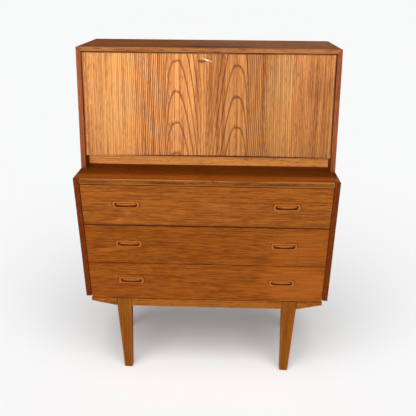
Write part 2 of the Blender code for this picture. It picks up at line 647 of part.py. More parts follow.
def make_drawer(number, teak, secondary):
    """A leaning front on a level box, hung by grooves in its sides on two runners.

    The drawer is drawn from the top edge of its front, in the middle.
    """
    top = DRAWERS_TOP - (number - 1) * DRAWER_PITCH
    face = front_at(top) + DRAWER_INSET
    slide = marker(f"drawer_{number}_slide", (0, face, top))
    name = f"drawer_{number}"

    def lean(height):
        """Y of the front's outer face at this height above its top edge, so below the edge height is negative."""
        return -height * SLOPE

    bottom = -DRAWER_HEIGHT
    outline = [(0, 0), (LEVEL_FRONT, 0), (lean(bottom) + LEVEL_FRONT, bottom), (lean(bottom), bottom)]
    half = CHEST_INNER - DRAWER_SIDE_GAP
    pull_x = half - PULL_FROM_END
    front = ease(prism(f"{name}_front", outline, "X", -half, half, teak, slide))

    box_top = -BOX_BELOW_FRONT_TOP
    box_low = bottom + BOX_ABOVE_FRONT_BOTTOM
    rear = BACK_INSIDE - BOX_BEHIND - face
    outer = CHEST_INNER - BOX_FROM_SIDE
    inner = outer - BOX_SIDE
    panel_low = box_low + BOTTOM_UP
    middle = (box_top + box_low) / 2
    groove_half = RUNNER_HEIGHT / 2 + RUNNER_CLEARANCE

    def behind(height, by=TOUCH):
        return lean(height) + LEVEL_FRONT + by

    for side, way in SIDES:
        shape = [(behind(box_top), box_top), (rear, box_top), (rear, box_low), (behind(box_low), box_low)]
        ends = sorted((way * inner, way * outer))
        wall = prism(f"{name}_side_{side}", shape, "X", *ends, secondary, slide)
        groove_x = sorted((way * (CHEST_INNER - RUNNER_REACH - RUNNER_CLEARANCE), way * (outer + THROUGH)))
        groove = (
            (groove_x[0], behind(middle) + GROOVE_START, middle - groove_half),
            (groove_x[1], rear + THROUGH, middle + groove_half),
        )
        cut(wall, box(f"{name}_runner_groove_{side}", *groove, parent=slide))
        panel_x = sorted((way * (inner - THROUGH), way * (inner + BOTTOM_GROOVE)))
        panel_groove = (
            (panel_x[0], behind(box_low) - 2 * THROUGH, panel_low - TOUCH),
            (panel_x[1], rear + THROUGH, panel_low + BOX_BOTTOM + TOUCH),
        )
        cut(wall, box(f"{name}_bottom_groove_{side}", *panel_groove, parent=slide))
        runner_x = sorted((way * (CHEST_INNER - RUNNER_REACH), way * (CHEST_INNER - TOUCH)))
        runner_start = face + behind(middle) + RUNNER_START
        runner_low = top + middle - RUNNER_HEIGHT / 2
        board(
            f"runner_{number}_{side}",
            (runner_x[0], runner_start, runner_low),
            (runner_x[1], BACK_INSIDE - TOUCH, runner_low + RUNNER_HEIGHT),
            secondary,
        )
        height = bottom / 2 + PULL_RAISE
        make_pull(f"pull_{number}_{side}", Vector((way * pull_x, lean(height), height)), front, slide, teak)

    box(
        f"{name}_back",
        (-inner + TOUCH, rear - BOX_BACK, panel_low + BOX_BOTTOM + TOUCH),
        (inner - TOUCH, rear, box_top),
        secondary,
        slide,
    )
    reach = inner + BOTTOM_GROOVE - TOUCH
    box(
        f"{name}_bottom",
        (-reach, behind(panel_low), panel_low),
        (reach, rear, panel_low + BOX_BOTTOM),
        secondary,
        slide,
    )


def make_pull(name, middle, front, slide, teak):
    """A block let into the drawer front, hollowed so that fingers go in under its lip and up behind it."""
    place = marker(f"{name}_place", middle)
    place.parent = slide
    place.rotation_euler.x = LEAN
    width, tall = PULL_SIZE
    outline = rounded(width, tall, PULL_CORNER)
    grown = rounded(width + 2 * TOUCH, tall + 2 * TOUCH, PULL_CORNER + TOUCH)
    cut(front, prism(f"{name}_pocket", grown, "Y", -THROUGH, PULL_DEPTH + TOUCH, parent=place))
    block = prism(name, outline, "Y", -PULL_PROUD, PULL_DEPTH, teak, place)
    ease(block, limit=60)
    opening = width - 2 * PULL_END
    low = PULL_SILL - tall / 2
    corner = PULL_SLOT_HEIGHT / 2 * ALMOST
    slot = shifted(rounded(opening, PULL_SLOT_HEIGHT, corner), 0, low + PULL_SLOT_HEIGHT / 2)
    cut(block, prism(f"{name}_slot", slot, "Y", -THROUGH, PULL_HOLLOW_DEPTH, parent=place))
    room = tall - PULL_SILL - PULL_HEAD
    hollow = shifted(rounded(opening, room, corner), 0, low + room / 2)
    lip_back = PULL_LIP - PULL_PROUD
    cut(block, prism(f"{name}_hollow", hollow, "Y", lip_back, PULL_HOLLOW_DEPTH, parent=place))


# --- the base --------------------------------------------------------------------------------------------------
def make_rail(name, face, into, outer_leg, top, teak):
    """A rail that thins out towards its ends, halved where the legs' forks grip it.

    face is its outer face and into the way to its inner one, +1 from the front and -1 from the back.
    """
    half = CHEST_INNER
    outline = [
        (-half, top),
        (half, top),
        (half, top - APRON_END),
        (outer_leg, APRON_BOTTOM),
        (-outer_leg, APRON_BOTTOM),
        (-half, top - APRON_END),
    ]
    rail = ease(prism(name, outline, "Y", *sorted((face, face + into * APRON_BOARD)), teak))
    inner_leg = outer_leg - LEG_TOP[0]
    lap = sorted((face - into * THROUGH, face + into * (APRON_BOARD - LAP)))
    for side, way in SIDES:
        across = sorted((way * (inner_leg - TOUCH), way * (outer_leg + TOUCH)))
        low, high = (across[0], lap[0], APRON_BOTTOM - THROUGH), (across[1], lap[1], top + THROUGH)
        cut(rail, box(f"{name}_lap_{side}", low, high))


def make_leg(name, way, face, into, outboard, top_of_rail, teak):
    """A leg of a square section with rounded corners, straight beside the rail and tapering below it.

    Its top is a fork: one cheek in front of the halved rail and one behind it.
    """
    foot_face = face + into * FOOT_SETBACK
    levels = (
        (0.0, LEG_INNER + FOOT_OUTBOARD, LEG_FOOT, foot_face),
        (APRON_BOTTOM, LEG_INNER, LEG_TOP, face),
        (LEG_TOP_HEIGHT, LEG_INNER, LEG_TOP, face),
    )
    mesh = bmesh.new()
    rings = []
    for height, inner, (width, deep), start in levels:
        near, far = inner + outboard, inner + outboard + width
        corners = ((near, start), (far, start), (far, start + into * deep), (near, start + into * deep))
        rings.append([mesh.verts.new((way * x, y, height)) for x, y in corners])
    mesh.faces.new(rings[0])
    mesh.faces.new(rings[-1])
    for lower, upper in zip(rings, rings[1:]):
        for i in range(4):
            j = (i + 1) % 4
            mesh.faces.new((lower[i], lower[j], upper[j], upper[i]))
    bmesh.ops.recalc_face_normals(mesh, faces=mesh.faces)
    upright = [edge for edge in mesh.edges if abs(edge.verts[0].co.z - edge.verts[1].co.z) > EASE]
    bmesh.ops.bevel(mesh, geom=upright, offset=LEG_CORNER, segments=3, profile=0.5, affect="EDGES")
    leg = smooth(ease(solid(name, mesh, teak), FOOT_EASE, limit=60))

    fork = sorted((face + into * (APRON_BOARD - LAP - TOUCH), face + into * (APRON_BOARD + TOUCH)))
    edge = LEG_INNER + outboard
    across = sorted((way * (edge - THROUGH), way * (edge + LEG_TOP[0] + THROUGH)))
    high = LEG_TOP_HEIGHT + THROUGH
    cut(leg, box(f"{name}_fork", (across[0], fork[0], APRON_BOTTOM - TOUCH), (across[1], fork[1], high)))
    outer = sorted((face - into * THROUGH, face + into * (APRON_BOARD + TOUCH + EASE)))
    if top_of_rail < LEG_TOP_HEIGHT:
        cut(leg, box(f"{name}_step", (across[0], outer[0], top_of_rail), (across[1], outer[1], high)))


def make_base(teak):
    rear_face = DEPTH / 2 - REAR_LEG_INSET
    make_rail("front_apron", APRON_FRONT, 1, LEG_OUTER, APRON_TOP, teak)
    make_rail("rear_rail", rear_face, -1, LEG_OUTER + REAR_LEG_OUTBOARD, LEG_TOP_HEIGHT, teak)
    for side, way in SIDES:
        make_leg(f"leg_front_{side}", way, APRON_FRONT, 1, 0.0, APRON_TOP, teak)
        make_leg(f"leg_rear_{side}", way, rear_face, -1, REAR_LEG_OUTBOARD, LEG_TOP_HEIGHT, teak)


def main():
    for thing in list(bpy.data.objects):
        bpy.data.objects.remove(thing, do_unlink=True)
    teak_flap = finish("teak_flap", (0.52, 0.22, 0.075), 0.45)
    teak_carcase = finish("teak_carcase", (0.30, 0.10, 0.035), 0.45)
    teak_drawer = finish("teak_drawer", (0.36, 0.13, 0.035), 0.45)
    teak_solid = finish("teak_solid", (0.25, 0.08, 0.02), 0.45)
    secondary = finish("secondary_wood", (0.55, 0.38, 0.20), 0.6)
    brass = finish("brass", (0.75, 0.60, 0.32), 0.3, 1.0)
    steel = finish("steel", (0.45, 0.44, 0.42), 0.35, 1.0)
    make_cabinet(teak_carcase, secondary)
    make_pigeonholes(teak_drawer)
    make_flap(teak_flap, brass, steel)
    make_chest(teak_carcase, secondary)
    for number in range(1, DRAWER_COUNT + 1):
        make_drawer(number, teak_drawer, secondary)
    make_base(teak_solid)


main()
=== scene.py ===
"""Looks of a secretary desk: a fall-front cabinet on a chest of three leaning drawers, on tapered legs.

Metres, +Z up. The front faces -Y and left is -X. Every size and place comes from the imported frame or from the
named fields of the class that uses it.
"""

import json
import logging
import math
from collections.abc import Callable, Iterator, Sequence
from contextlib import contextmanager
from dataclasses import dataclass
from enum import Enum
from functools import cache

import bmesh
import bpy
from mathutils import Matrix, Vector


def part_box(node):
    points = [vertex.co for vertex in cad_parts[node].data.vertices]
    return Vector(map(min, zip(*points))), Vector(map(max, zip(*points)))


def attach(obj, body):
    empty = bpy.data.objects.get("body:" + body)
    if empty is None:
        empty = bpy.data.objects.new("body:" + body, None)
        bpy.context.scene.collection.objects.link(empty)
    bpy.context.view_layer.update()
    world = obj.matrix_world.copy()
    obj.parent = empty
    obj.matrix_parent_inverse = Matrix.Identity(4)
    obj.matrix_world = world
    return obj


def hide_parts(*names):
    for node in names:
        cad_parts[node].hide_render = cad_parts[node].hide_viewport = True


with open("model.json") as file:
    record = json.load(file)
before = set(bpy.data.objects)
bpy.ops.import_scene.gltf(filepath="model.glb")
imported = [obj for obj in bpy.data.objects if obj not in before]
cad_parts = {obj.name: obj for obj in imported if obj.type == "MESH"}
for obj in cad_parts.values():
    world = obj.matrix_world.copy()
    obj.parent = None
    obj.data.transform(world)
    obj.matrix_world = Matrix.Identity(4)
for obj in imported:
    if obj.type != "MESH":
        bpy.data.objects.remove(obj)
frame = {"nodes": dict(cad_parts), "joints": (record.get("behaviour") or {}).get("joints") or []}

Colour = tuple[float, float, float]
Triple = tuple[float, float, float]
Piece = bpy.types.Object
PlaceTest = Callable[[Vector], bool]
EdgeTest = Callable[[bmesh.types.BMEdge], bool]
FaceTest = Callable[[bmesh.types.BMFace], bool]

LOG = logging.getLogger("desk")
CARCASE = "carcase"
FLAP = "flap"
ARRIS = "arris"  # face attribute that is 1 on the rounded edges of a board, which the teak paints paler for rubbing and as a painted highlight
GAP_SHADE = "grime"  # face attribute that says how much painted shade darkens a face in a gap or hollow
DEEPENED: Colour = (0.52, 0.46, 0.38)  # what deeper wood multiplies the colour round it by
FOOT_ZONE = 0.01  # height below which a leg's corners belong to its foot
HAIRLINE = 0.00015  # gap between a panel and its lipping
TOUCH = 1e-5  # how near a plane a corner has to lie to count as in it
NEAR = 1e-4  # the same for corners that a cut has moved
SQUARE_ON = 0.9  # share of a face's normal along an axis that counts as facing along it
ALIGNED = 0.99  # share of an edge along an axis that counts as running along it
SAME_WAY = 0.999  # cosine between two normals that count as one
OUTER_TURN = 30.0  # degrees that an edge has to turn by to be rounded
SIDES: tuple[tuple[str, int], ...] = (("left", -1), ("right", 1))
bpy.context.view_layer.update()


# --- shader sockets in expressions ----------------------------------------------------------------
def feed(target: bpy.types.NodeSocket, value: "Signal | float | Triple") -> None:
    """Links a value to an input, or sets the constant there, with full alpha on a colour.

    Args:
        target: The input.
        value: A socket, a number, a vector or a colour.
    """
    if isinstance(value, Signal):
        value.plug(target)
    elif isinstance(value, tuple) and len(target.default_value) == 4:
        target.default_value = (*value, 1.0)
    else:
        target.default_value = value


class Signal:
    """A shader socket that takes part in arithmetic: each operator adds a Math node."""

    def __init__(self, tree: bpy.types.NodeTree, socket: bpy.types.NodeSocket) -> None:
        """Wraps an output socket.

        Args:
            tree: The node tree that the socket belongs to.
            socket: The output whose value the expression uses.
        """
        self.tree = tree
        self.socket = socket

    def plug(self, target: bpy.types.NodeSocket) -> None:
        """Links this value to an input."""
        self.tree.links.new(self.socket, target)

    def apply(self, operation: str, *values: "Signal | float") -> "Signal":
        """Adds a Math node.

        Args:
            operation: The Math node's operation.
            values: Its inputs in order.

        Returns:
            The node's result.
        """
        node = self.tree.nodes.new("ShaderNodeMath")
        node.operation = operation
        for target, value in zip(node.inputs, values):
            feed(target, value)
        return Signal(self.tree, node.outputs[0])

    def __add__(self, other: "Signal | float") -> "Signal":
        """The sum."""
        return self.apply("ADD", self, other)

    def __radd__(self, other: float) -> "Signal":
        """The sum, number first."""
        return self.apply("ADD", other, self)

    def __sub__(self, other: "Signal | float") -> "Signal":
        """The difference."""
        return self.apply("SUBTRACT", self, other)

    def __rsub__(self, other: float) -> "Signal":
        """The difference, number first."""
        return self.apply("SUBTRACT", other, self)

    def __mul__(self, other: "Signal | float") -> "Signal":
        """The product."""
        return self.apply("MULTIPLY", self, other)

    def __rmul__(self, other: float) -> "Signal":
        """The product, number first."""
        return self.apply("MULTIPLY", other, self)

    def __truediv__(self, other: "Signal | float") -> "Signal":
        """The quotient."""
        return self.apply("DIVIDE", self, other)

    def __pow__(self, other: float) -> "Signal":
        """The power."""
        return self.apply("POWER", self, other)

    def __abs__(self) -> "Signal":
        """The absolute value."""
        return self.apply("ABSOLUTE", self)

    def __gt__(self, other: float) -> "Signal":
        """1 where this value is greater, and 0 elsewhere."""
        return self.apply("GREATER_THAN", self, other)

    def root(self) -> "Signal":
        """The square root."""
        return self.apply("SQRT", self)

    def floor(self) -> "Signal":
        """The whole number below."""
        return self.apply("FLOOR", self)

    def between(self, low: float, high: float) -> "Signal":
        """A smooth step up, or down where low is the greater one.

        Args:
            low: Where the step is 0.
            high: Where the step is 1.

        Returns:
            The step.
        """
        node = self.tree.nodes.new("ShaderNodeMapRange")
        node.interpolation_type = "SMOOTHSTEP"
        start, end = sorted((low, high))
        self.plug(node.inputs["Value"])
        node.inputs["From Min"].default_value = start
        node.inputs["From Max"].default_value = end
        node.inputs["To Min"].default_value = 0.0 if low < high else 1.0
        node.inputs["To Max"].default_value = 1.0 if low < high else 0.0
        return Signal(self.tree, node.outputs["Result"])


class Recipe:
    """A material that is put together node by node, with object coordinates as its only place."""

    def __init__(self, name: str) -> None:
        """Starts a material with a Principled shader.

        Args:
            name: The material's name.
        """
        self.material = bpy.data.materials.new(name)
        self.material.use_nodes = True
        self.tree = self.material.node_tree
        self.shader = self.tree.nodes["Principled BSDF"]
        self.place = self.node("ShaderNodeTexCoord", output="Object")

    def node(
        self,
        kind: str,
        settings: dict[str, object] | None = None,
        values: dict[str | int, object] | None = None,
        output: str | int = 0,
    ) -> Signal:
        """Adds any node.

        Args:
            kind: The node's type.
            settings: Its properties, which are set first.
            values: Links or constants for its inputs, by name or number.
            output: The output that is handed back.

        Returns:
            That output.
        """
        node = self.tree.nodes.new(kind)
        for key, value in (settings or {}).items():
            setattr(node, key, value)
        for key, value in (values or {}).items():
            feed(node.inputs[key], value)
        return Signal(self.tree, node.outputs[output])

    def split(self) -> tuple[Signal, Signal, Signal]:
        """The place's X, Y and Z.

        Returns:
            The three numbers.
        """
        node = self.tree.nodes.new("ShaderNodeSeparateXYZ")
        self.place.plug(node.inputs[0])
        return tuple(Signal(self.tree, node.outputs[i]) for i in range(3))

    def stretched(
        self, scale: Triple, turn: Triple = (0.0, 0.0, 0.0), shift: Triple = (0.0, 0.0, 0.0)
    ) -> Signal:
        """The place, moved, turned and scaled, for a texture."""
        values = {"Vector": self.place, "Scale": scale, "Rotation": turn, "Location": shift}
        return self.node("ShaderNodeMapping", values=values)

    def noise(self, vector: Signal, detail: float = 2.0, roughness: float = 0.5) -> Signal:
        """Smooth noise about 0.5 at one cycle per unit of vector."""
        values = {"Vector": vector, "Scale": 1.0, "Detail": detail, "Roughness": roughness}
        return self.node("ShaderNodeTexNoise", values=values, output="Fac")

    def blend(
        self, share: Signal | float, first: Signal | Colour, second: Signal | Colour, mode: str = "MIX"
    ) -> Signal:
        """Mixes two colours.

        Args:
            share: How much of the second colour.
            first: A colour socket or a plain colour.
            second: A colour socket or a plain colour.
            mode: The Mix node's blend mode.

        Returns:
            The mixed colour.
        """
        node = self.tree.nodes.new("ShaderNodeMix")
        node.data_type = "RGBA"
        node.blend_type = mode
        for number, value in ((0, share), (6, first), (7, second)):
            feed(node.inputs[number], value)
        return Signal(self.tree, node.outputs[2])

    def finish(self, **inputs: "Signal | float | Colour") -> bpy.types.Material:
        """Feeds the shader.

        Args:
            inputs: Its inputs by name, with _ for a space.

        Returns:
            The finished material.
        """
        for name, value in inputs.items():
            feed(self.shader.inputs[name.replace("_", " ")], value)
        return self.material

    def bump(self, height: Signal, depth: float) -> Signal:
        """A normal from a height between 0 and 1 that stands for this depth."""
        values = {"Height": height, "Distance": depth, "Strength": 1.0}
        return self.node("ShaderNodeBump", values=values, output="Normal")


# --- finishes -------------------------------------------------------------------------------------
class Axis(Enum):
    """One of the frame's axes, by its number."""

    X = 0
    Y = 1
    Z = 2


@dataclass(frozen=True)
class Rings:
    """How a plain board lay in its log, whose growth rings are shells round its heart.

    Attributes:
        middle: Where the heart lies across the board.
        drift: How far that moves across per metre along the board.
        depth: From the board's face to the heart at the origin of the grain.
        slant: How much that depth changes per metre along the board.
        ring: Width of a growth ring.
        sway: How far the rings wander across the board.
        line: The share of a ring that its dark line takes.
        jag: How jagged the lines are, as a share of a ring.
        sink: How much of the way into the board counts towards the heart.
    """

    middle: float = 0.3
    drift: float = 0.0
    depth: float = 0.12
    slant: float = 0.02
    ring: float = 0.006
    sway: float = 0.030
    line: float = 0.30
    jag: float = 0.42
    sink: float = 0.5

    def count(
        self, along: Signal, across: Signal, depth: Signal, sway: Signal
    ) -> tuple[Signal, Signal | float]:
        """The number of rings between the heart and each point.

        Args:
            along: Distance along the grain.
            across: Distance across the face.
            depth: Distance into the board.
            sway: A slow noise about zero.

        Returns:
            The number of rings, and the share of a ring that its dark line takes.
        """
        off_middle = across + sway * self.sway - (along * self.drift + self.middle)
        from_heart = along * self.slant + depth * self.sink + self.depth
        return (off_middle * off_middle + from_heart * from_heart).root() * (1.0 / self.ring), self.line


@dataclass(frozen=True)
class Arches:
    """Leaves of veneer with pointed arches, opened like a book about a seam near the desk's middle.

    Attributes:
        seam: Where the two middle leaves meet.
        middle: From that seam to the line of the arches' tips.
        tip: Height of one tip.
        pitch: From one tip to the next.
        lag: How much lower the right leaf's tips lie.
        outer: Half width of an arch away from the seam, and how blunt it is.
        inner: Half width of an arch towards the seam, and how blunt it is.
        fall: How far an arch falls over that half width.
        steepest: The steepest slope of its sides.
        leaf: From the seam to the joint with a plain outer leaf.
        sway: How far the tips wander, as a height.
        wander: How far the sides wander across the flap.
        line: Thickness of a ring's dark line.
        jag: How jagged the lines are, as a share of a ring.
        thicken: The slope that a line's thickness takes on top of its own.
        inner_fade: Where the lines towards the seam are faintest, where they are full, and the least share.
        outer_fade: The same away from the seam.
        plain: Rings per metre across a plain outer leaf, per metre along it, and their sway.
    """

    seam: float = -0.0035
    middle: float = 0.090
    tip: float = 0.9735
    pitch: float = 0.0968
    lag: float = 0.012
    outer: tuple[float, float] = (0.0460, 3.6)
    inner: tuple[float, float] = (0.058, 1.6)
    fall: float = 0.28
    steepest: float = 15.0
    leaf: float = 0.282
    sway: float = 0.02
    wander: float = 0.016
    line: float = 0.0028
    jag: float = 0.15
    thicken: float = 3.0
    inner_fade: Triple = (0.080, 0.040, 0.30)
    outer_fade: Triple = (0.20, 0.06, 0.45)
    plain: Triple = (210.0, 1.5, 2.0)

    def side(self, distance: Signal, shape: tuple[float, float]) -> tuple[Signal, Signal]:
        """How far the arch has fallen at a distance from its middle, and how steep it is there.

        Args:
            distance: From the arch's middle.
            shape: Half width of the arch and how blunt it is.

        Returns:
            The fall and the slope.
        """
        half, power = shape
        bend = (self.steepest * half / (self.fall * power)) ** (1.0 / (power - 1.0))
        near = distance.apply("MINIMUM", distance * (1.0 / half), bend)
        far = distance.apply("MAXIMUM", distance - bend * half, 0.0)
        slope = near ** (power - 1.0) * (self.fall * power / half)
        return near**power * self.fall + far * self.steepest, slope

    def count(
        self, along: Signal, across: Signal, depth: Signal, sway: Signal
    ) -> tuple[Signal, Signal | float]:
        """The number of rings between the first tip and each point.

        Args:
            along: Height on the flap.
            across: Distance across the flap.
            depth: Distance into the board, which veneer hardly has; not used here.
            sway: A slow noise about zero.

        Returns:
            The number of rings, and the share of a ring that its dark line takes.
        """
        lag = (across > self.seam) * self.lag
        folded = abs(across + sway * self.wander - self.seam)
        offset = folded - self.middle
        outwards = offset > 0.0
        distance = abs(offset)
        inner_fall, inner_slope = self.side(distance, self.inner)
        outer_fall, outer_slope = self.side(distance, self.outer)
        drop = inner_fall + outwards * (outer_fall - inner_fall)
        slope = inner_slope + outwards * (outer_slope - inner_slope)
        arched = (along + lag + drop + sway * self.sway - self.tip) * (1.0 / self.pitch)
        plain = folded * self.plain[0] + along * self.plain[1] + sway * self.plain[2]
        inner_fade, outer_fade = (
            distance.between(faint, full) * (1.0 - least) + least
            for faint, full, least in (self.inner_fade, self.outer_fade)
        )
        fade = inner_fade + outwards * (outer_fade - inner_fade)
        share = (slope + self.thicken) * fade * (self.line / self.pitch)
        return arched + (folded > self.leaf) * (plain - arched), share


class Tone(Enum):
    """What a mark is made of: bleached wood, deeper wood, or near-black: burnt or knotty wood on some marks,
    and painted shade along the gaps on others.
    """

    BLEACHED = "bleached"
    DEEP = "deep"
    DARK = "dark"


@dataclass(frozen=True)
class Mark:
    """One patch that use or growth has left on a board, or a line of painted shade along a gap beside it.

    Attributes:
        place: Its middle.
        size: Its half sizes.
        strength: How strongly it shows.
        tone: How it differs from the wood round it.
        ragged: How ragged its rim is.
    """

    place: Triple
    size: Triple
    strength: float
    tone: Tone = Tone.DARK
    ragged: float = 1.6

    def mask(self, recipe: Recipe, ragged: Signal) -> Signal:
        """How much each point is covered, with a ragged rim.

        Args:
            recipe: The material being made.
            ragged: Fine noise about 0.5.

        Returns:
            The share that is covered.
        """
        scale = tuple(1.0 / half for half in self.size)
        shift = tuple(-middle / half for middle, half in zip(self.place, self.size))
        from_middle = recipe.stretched(scale, shift=shift)
        reach = recipe.node("ShaderNodeVectorMath", {"operation": "LENGTH"}, {0: from_middle}, "Value")
        return (reach + (ragged - 0.5) * self.ragged).between(1.0, 0.5) * self.strength


@dataclass(frozen=True)
class Teak:
    """Oiled teak, with growth rings, fibres, pores, slow changes of tone, scuffs, edges painted paler for
    rubbing and as a painted highlight, and painted shade in gaps and hollows.

    Attributes:
        name: The material's name.
        grain: The axis that the fibres follow.
        across: The axis across the face.
        pale: Colour between the rings.
        deep: Colour of the reddish streaks.
        line: Colour of the dark lines at the rings' edges.
        figure: How the board lay in its log.
        lines: Strength of the dark lines.
        streaks: Strength of the reddish streaks.
        dashes: Strength of the short dark dashes where pores are cut open.
        width: Width of a streak.
        run: Length of a streak.
        scuffs: Strength of the pale scuffs.
        edge_wear_and_highlight: How pale the edges are painted, both for rubbing and as a painted highlight.
        stain: Strength of the dark patches.
        roughness: The oiled surface's roughness.
        start: Where in the wood's pattern the board was cut.
        marks: Single patches of wear or growth.
        slot: The record's material slot; not used in this script.
    """

    name: str
    grain: Axis
    across: Axis
    pale: Colour
    deep: Colour
    line: Colour
    figure: Rings | Arches = Rings()
    lines: float = 0.5
    streaks: float = 0.8
    dashes: float = 0.5
    width: float = 0.009
    run: float = 0.30
    scuffs: float = 0.10
    edge_wear_and_highlight: float = 1.0
    stain: float = 0.0
    roughness: float = 0.58
    start: float = 0.0
    marks: tuple[Mark, ...] = ()
    slot: str = "teak_carcase"

    def pattern(
        self, recipe: Recipe, along: float, across: float, detail: float = 2.0, part: float = 0.0
    ) -> Signal:
        """Noise of this many cycles per metre along and across the fibres.

        Args:
            recipe: The material being made.
            along: Cycles per metre along the fibres.
            across: Cycles per metre across them.
            detail: How much finer detail it holds.
            part: Which part of the noise it reads.

        Returns:
            The noise, about 0.5.
        """
        scale = tuple(along if axis is self.grain else across for axis in Axis)
        shift = (self.start * 3.0 + part, self.start * 7.0 - part, self.start * 5.0 + part * 2.0)
        return recipe.noise(recipe.stretched(scale, shift=shift), detail, 0.6)

    def ring_lines(self, recipe: Recipe) -> tuple[Signal, Signal, Signal]:
        """The sharp dark line at each ring's edge, the shade beside it, and each ring's own tone.

        Args:
            recipe: The material being made.

        Returns:
            The line, the shade and the tone, each from 0 to 1.
        """
        axes = recipe.split()
        depth_axis = next(axis for axis in Axis if axis not in (self.grain, self.across))
        along, across, depth = axes[self.grain.value], axes[self.across.value], axes[depth_axis.value]
        sway = self.pattern(recipe, 2.5, 7.0, 1.0) - 0.5
        jagged = self.pattern(recipe, 30.0, 130.0, 2.0, 3.0) - 0.5
        count, width = self.figure.count(along, across, depth, sway)
        count = count + jagged * self.figure.jag
        whole = count.floor()
        phase = count - whole
        chance = recipe.node("ShaderNodeTexWhiteNoise", {"noise_dimensions": "1D"}, {"W": whole}, "Value")
        sharp = (1.0 - phase / width).apply("MAXIMUM", 1.0 - phase / width, 0.0).root()
        return sharp, phase.between(0.60, 0.05), chance

    def material(self) -> bpy.types.Material:
        """Builds the material.

        Returns:
            The material.
        """
        recipe = Recipe(self.name)
        sharp, shade, chance = self.ring_lines(recipe)
        per_metre = 1.0 / self.width
        per_run = 1.0 / self.run
        broad = self.pattern(recipe, per_run * 0.5, per_metre * 0.2, 1.0, 1.0).between(0.36, 0.64)
        streaks = self.pattern(recipe, per_run, per_metre, 1.0, 2.0).between(0.40, 0.60)
        fine = self.pattern(recipe, per_run * 3.0, per_metre * 2.0, 1.0, 4.0).between(0.41, 0.59)
        dashes = self.pattern(recipe, 45.0, per_metre * 2.4, 0.0, 5.0).between(0.57, 0.64)
        fibres = self.pattern(recipe, 20.0, 1500.0, 1.0, 6.0)
        clouds = self.pattern(recipe, 4.0, 9.0, 2.0, 7.0).between(0.36, 0.64)
        red = broad * 0.05 + streaks * 0.30 + fine * 0.50 + shade * chance * 0.05 - 0.10
        colour = recipe.blend(red * self.streaks, self.pale, self.deep)
        colour = recipe.blend(clouds * 0.05 * self.streaks, colour, self.deep)
        colour = recipe.blend(sharp * (chance * 0.2 + 0.8) * self.lines, colour, self.line)
        colour = recipe.blend(dashes * (streaks * 0.6 + 0.4) * self.dashes, colour, self.line)
        colour = recipe.blend(fibres.between(0.35, 0.65) * 0.10, colour, self.line)
        if self.stain:
            patches = self.pattern(recipe, 5.0, 42.0, 2.0, 8.0).between(0.56, 0.68)
            colour = recipe.blend(patches * self.stain, colour, self.line)
        bleached = tuple(min(1.0, channel * 1.4 + 0.012) for channel in self.pale)
        turned_noise = recipe.stretched((30.0, 30.0, 420.0), turn=(0.0, 0.9, 0.5), shift=(self.start,) * 3)
        scuff = recipe.noise(turned_noise, 2.0, 0.6).between(0.60, 0.72)
        slow_noise = recipe.stretched((9.0, 9.0, 9.0), shift=(self.start,) * 3)
        patch = recipe.noise(slow_noise, 1.0).between(0.48, 0.66)
        ragged = self.pattern(recipe, 60.0, 200.0, 2.0, 9.0)
        tones = {
            Tone.BLEACHED: (bleached, "MIX"),
            Tone.DEEP: (DEEPENED, "MULTIPLY"),
            Tone.DARK: (self.line, "MIX"),
        }
        for mark in self.marks:
            colour = recipe.blend(mark.mask(recipe, ragged), colour, *tones[mark.tone])
        arris = recipe.node("ShaderNodeAttribute", {"attribute_name": ARRIS}, output="Fac")
        # the scuffs are rubbing; the pale arris is partly rubbing and partly a painted highlight along the
        # edges
        worn_and_highlit = scuff * patch * self.scuffs + arris * (clouds * 0.4 + 0.2) * self.edge_wear_and_highlight
        colour = recipe.blend(worn_and_highlit, colour, bleached)
        # painted shade: faces marked as lying in gaps and hollows are darkened towards the line colour
        grime = recipe.node("ShaderNodeAttribute", {"attribute_name": GAP_SHADE}, output="Fac")
        colour = recipe.blend(grime, colour, self.line)
        roughness = self.roughness + (fibres - 0.5) * 0.2 + dashes * 0.12 - arris * 0.08
        relief = recipe.bump(fibres * 0.5 - dashes * 0.7 - sharp * 0.3, 0.00010)
        return recipe.finish(Base_Color=colour, Roughness=roughness, Normal=relief, Specular_IOR_Level=0.05)


@dataclass(frozen=True)
class PlainWood:
    """Pale hardwood or thin board inside the desk, sanded and not oiled.

    Attributes:
        name: The material's name.
        grain: The axis that the fibres follow.
        pale: Its lighter colour.
        deep: Its darker colour.
        dust: Strength of the grey marks of use.
        slot: The record's material slot; not used in this script.
    """

    name: str
    grain: Axis
    pale: Colour
    deep: Colour
    dust: float = 0.3
    slot: str = "secondary_wood"

    def material(self) -> bpy.types.Material:
        """Builds the material.

        Returns:
            The material.
        """
        recipe = Recipe(self.name)

        def cycles(along: float, across: float) -> Signal:
            """The place in cycles, fine across the fibres and long along them."""
            return recipe.stretched(tuple(along if axis is self.grain else across for axis in Axis))

        bands = recipe.noise(cycles(1.8, 60.0), 4.0, 0.6)
        fibres = recipe.noise(cycles(16.0, 800.0), 3.0, 0.7)
        flecks = recipe.noise(cycles(160.0, 700.0), 0.0).between(0.66, 0.74)
        marks = recipe.noise(cycles(5.0, 7.0), 4.0, 0.7).between(0.50, 0.75)
        colour = recipe.blend(bands.between(0.32, 0.68), self.pale, self.deep)
        colour = recipe.blend(fibres.between(0.4, 0.7) * 0.25 + flecks * 0.35, colour, self.deep)
        colour = recipe.blend(marks * self.dust, colour, tuple(channel * 0.55 for channel in self.deep))
        relief = recipe.bump(fibres - flecks * 0.6, 0.00010)
        return recipe.finish(Base_Color=colour, Roughness=fibres * 0.2 + 0.52, Normal=relief)


